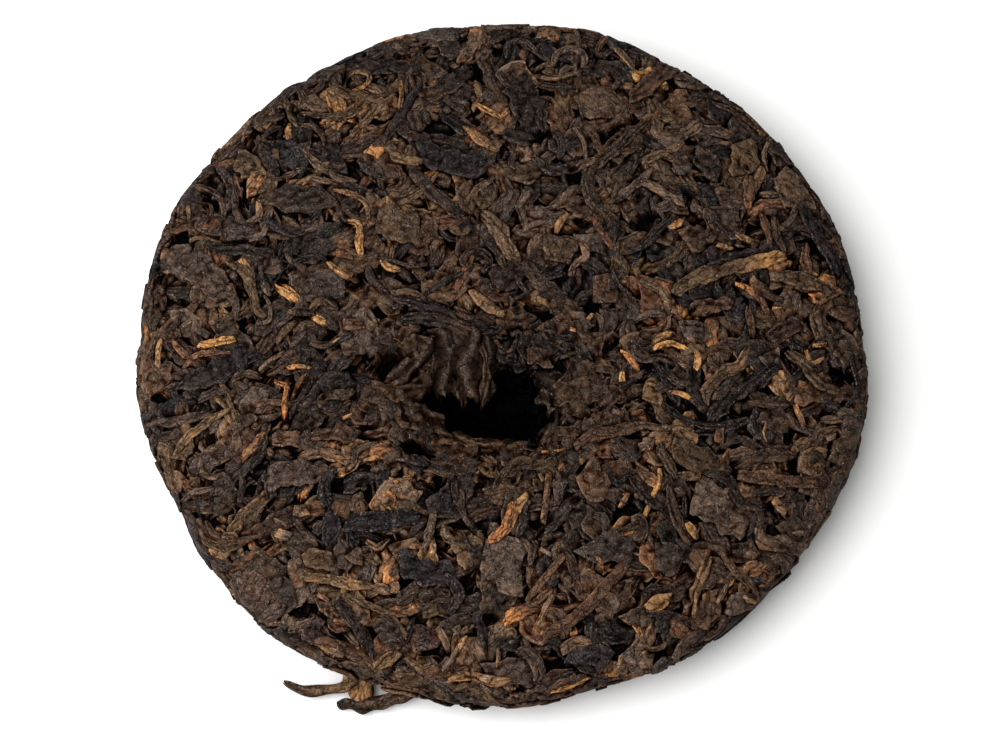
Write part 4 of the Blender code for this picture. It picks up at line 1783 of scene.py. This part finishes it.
    EnlargedView((480, 430), 3.733, """
flake 46 13.3 10,440 80,470 160,540
flake 52 10.1 800,210 850,260 950,330 1010,350
flake 23 8.0 650,470 700,480 760,500
flake 30 8.7 400,420 500,440 580,450
flake 15 8.0 380,880 430,840 480,880
flake 4 5.3 690,330 720,430
flake 50 7.7 390,130 430,200 480,230
flake 80 3.9 620,670 670,642 715,630
flake 12 5.3 650,722 710,732
narrow 90 3.1 180,230 140,290 110,350 50,400 35,430
stalk 62 2.1 260,150 250,230 235,350
rolled 22 3.1 290,400 330,470 370,570
narrow 56 2.4 150,400 190,440 190,510
stalk 46 3.5 550,490 480,570 400,660 310,730 230,770
narrow 73 1.9 220,440 270,470
narrow 86 2.7 430,470 460,502
rolled 10 2.8 560,170 620,250 690,300
rolled 30 3.1 700,200 720,290 760,380 790,430
narrow 16 2.0 768,240 768,330
narrow 83 2.4 770,340 800,380 815,410
stalk 43 3.5 960,165 1060,180 1160,190 1265,200
rolled 36 4.2 950,140 1050,100 1190,95
rolled 20 2.4 1010,235 1120,230 1210,245
rolled 12 3.8 870,150 930,190 960,250 1080,290
narrow 76 3.1 1095,250 1130,290 1150,310
rolled 56 4.9 1030,350 1060,410 1150,430 1250,410 1300,360
narrow 66 2.0 1160,390 1210,382 1250,340
narrow 51 2.8 820,420 900,450 950,520 1020,580 1040,630
narrow 67 2.1 870,470 840,540 810,620 800,710
narrow 76 1.8 930,570 910,610 880,650
narrow 73 2.0 980,620 1030,650
curled 36 2.8 560,330 600,330 615,380 600,420
narrow 92 2.0 260,985 340,965 420,930
rolled 82 2.8 0,922 60,935 120,930
curled 41 3.9 130,820 190,840 220,900 210,950
rolled 60 3.4 300,830 360,790 420,790
rolled 51 3.9 840,790 880,770 930,700
rolled 68 3.4 590,60 640,50
rolled 46 2.9 670,60 700,120 740,180
rolled 61 2.8 740,170 830,172
rolled 56 3.4 580,130 640,180 680,210
narrow 80 2.0 560,230 520,290
curled 40 2.4 50,230 80,170 150,110 200,110
"""),
)


# each path in mm, then width and thickness in mm, and the tones of both ends
JUTTING_LEAVES = (
    (
        ((-55, -87.5, 4.6), (-50, -89.3, 4.0), (-44, -89.4, 4.0), (-36, -86.5, 5.2), (-28, -82, 7)),
        2.8, 1.9, (0.4, 1.0),
    ),
    (
        ((-36.8, -92.2, 3.2), (-36.2, -90.6, 3.6), (-35.6, -88, 4.4), (-35, -85, 5.6), (-34, -80, 7)),
        8.0, 1.4, (0.85, 0.75),
    ),
    (
        ((-41.5, -92.8, 2.8), (-36, -92.9, 3.0), (-30, -92.2, 3.6), (-23, -90, 5.2), (-16, -86, 7)),
        3.8, 2.0, (0.15, 0.75),
    ),
)

# each path in pixels of the photograph with heights in mm, then width and thickness in mm, tones and roll
HOLE_LEAVES = (
    (((446, 330, 22.4), (446, 352, 22.2), (444, 374, 21.2), (447, 392, 19.3)), 7.0, 0.8, (0.2, 0.24), 0.25),
    (((466, 328, 22.6), (467, 350, 22.5), (466, 374, 21.5), (466, 397, 19.4)), 8.6, 0.8, (0.22, 0.3), -0.1),
    (((488, 334, 22.3), (489, 352, 22.0), (488, 374, 20.9), (486, 396, 18.8)), 5.0, 0.8, (0.16, 0.2), 0.3),
    (((482, 344, 22.8), (486, 364, 22.7), (487, 384, 21.6), (483, 403, 19.4)), 2.0, 0.8, (0.32, 0.42), 0.0),
    (((404, 398, 21.8), (420, 414, 21.3), (436, 430, 20.6), (452, 438, 20.2)), 8.0, 0.8, (0.26, 0.4), 0.5),
    (((452, 434, 20.4), (468, 440, 20.6), (484, 444, 20.8), (502, 446, 20.6)), 4.6, 0.8, (0.34, 0.5), 0.5),
    (((502, 444, 20.4), (520, 446, 20.4), (538, 444, 20.6), (556, 438, 20.6)), 4.4, 0.8, (0.24, 0.3), 0.4),
    (((540, 392, 19.6), (556, 404, 19.8), (566, 420, 20.0), (560, 446, 20.8)), 7.0, 0.8, (0.2, 0.26), -0.4),
    (((432, 338, 22.8), (416, 356, 22.2), (400, 374, 21.6), (382, 392, 22.0)), 6.0, 0.8, (0.24, 0.3), -0.5),
)

# the kinds of leaf and their numbers, deepest first
LAYERS = (
    (FLAKE, 600), (ROLLED, 700), (NARROW, 600), (FLAKE, 460), (NARROW, 240), (CURLED, 50),
    (ROLLED, 440), (FLAKE, 200), (TORN, 200), (NARROW, 240), (STALK, 40), (BUD, 30), (SHRED, 150),
)

# leaves in and round the dimple: kind, number, middle and reach of the patch in mm, and tone
PATCHES = (
    (TORN, 260, (-2, -14), (34, 25), 0.3),
    (SHRED, 120, (-2, -14), (34, 25), 0.3),
    (TORN, 90, (-2, -14), (30, 22), 0.3),
    (SHEET, 46, (-2, -15), (27, 19), 0.26),
    # the last two: dark leaves on the far wall of the dimple, partly their own dark tone and partly painted
    # shade
    (TORN, 50, (8, -7), (13, 7), 0.06),
    (SHRED, 60, (8, -7), (14, 8), 0.1),
)


def main() -> None:
    """Builds the cake's leaves side by side, then the crust, the studio and the camera; logs each leaf
    piece's and the crust's triangles.
    """
    logging.basicConfig(level=logging.INFO, format="%(message)s")
    skin, camera = Skin(), PhotoCamera()
    dark = LeafFinish("dry_rolled_tea_leaf").build()
    flat = LeafFinish(
        "dry_flat_tea_leaf", wrinkle=(3.6, 4.6), wrinkle_sway=5.0, wrinkle_depth=0.16,
        fibre_depth=0.08, pit_depth=0.22, grain_depth=0.15,
    ).build()
    finishes = {name: flat if kind in (FLAKE, TORN, SHEET) else dark for name, kind in KINDS.items()}
    back = Press(skin, Side.BACK, np.random.default_rng(BACK_SEED))
    face = Press(skin, Side.FACE, np.random.default_rng(FACE_SEED), coarseness=1.5)
    planting = Planting(back, LAYERS)
    planting.plant()
    for patch in PATCHES:
        planting.plant_patch(*patch)
    seen = [leaf for view in VIEWS for leaf in view.leaves(skin, camera, back.draw)]
    for leaf in sorted(seen, key=lambda leaf: -leaf.width):
        back.add(leaf)
    LeafLayer(back, finishes).build()
    torn = {"ragged": 0.4, "light": 0.0, "blunt": 0.6, "fringe": 1.5, "columns": 23}
    hanging = []
    for path, width, thickness, tones, roll in HOLE_LEAVES:
        places = camera.reach(np.array(path)[:, :2], np.array(path)[:, 2])
        hanging.append(FreeLeaf(places, width, thickness, tones, back.draw, roll, **torn))
    free_leaves("torn_hole_leaves", hanging, flat)
    jutting = [FreeLeaf(np.array(path), *sizes, back.draw) for path, *sizes in JUTTING_LEAVES]
    free_leaves("jutting_leaf_ends", jutting, dark)
    Planting(face, tuple((kind, count // 2) for kind, count in LAYERS), stop=106).plant()
    LeafLayer(face, finishes, inset=1.0).build()
    Crust(skin, back, face).build(dark)
    Studio().build()
    camera.build()


if __name__ == "__main__":
    main()
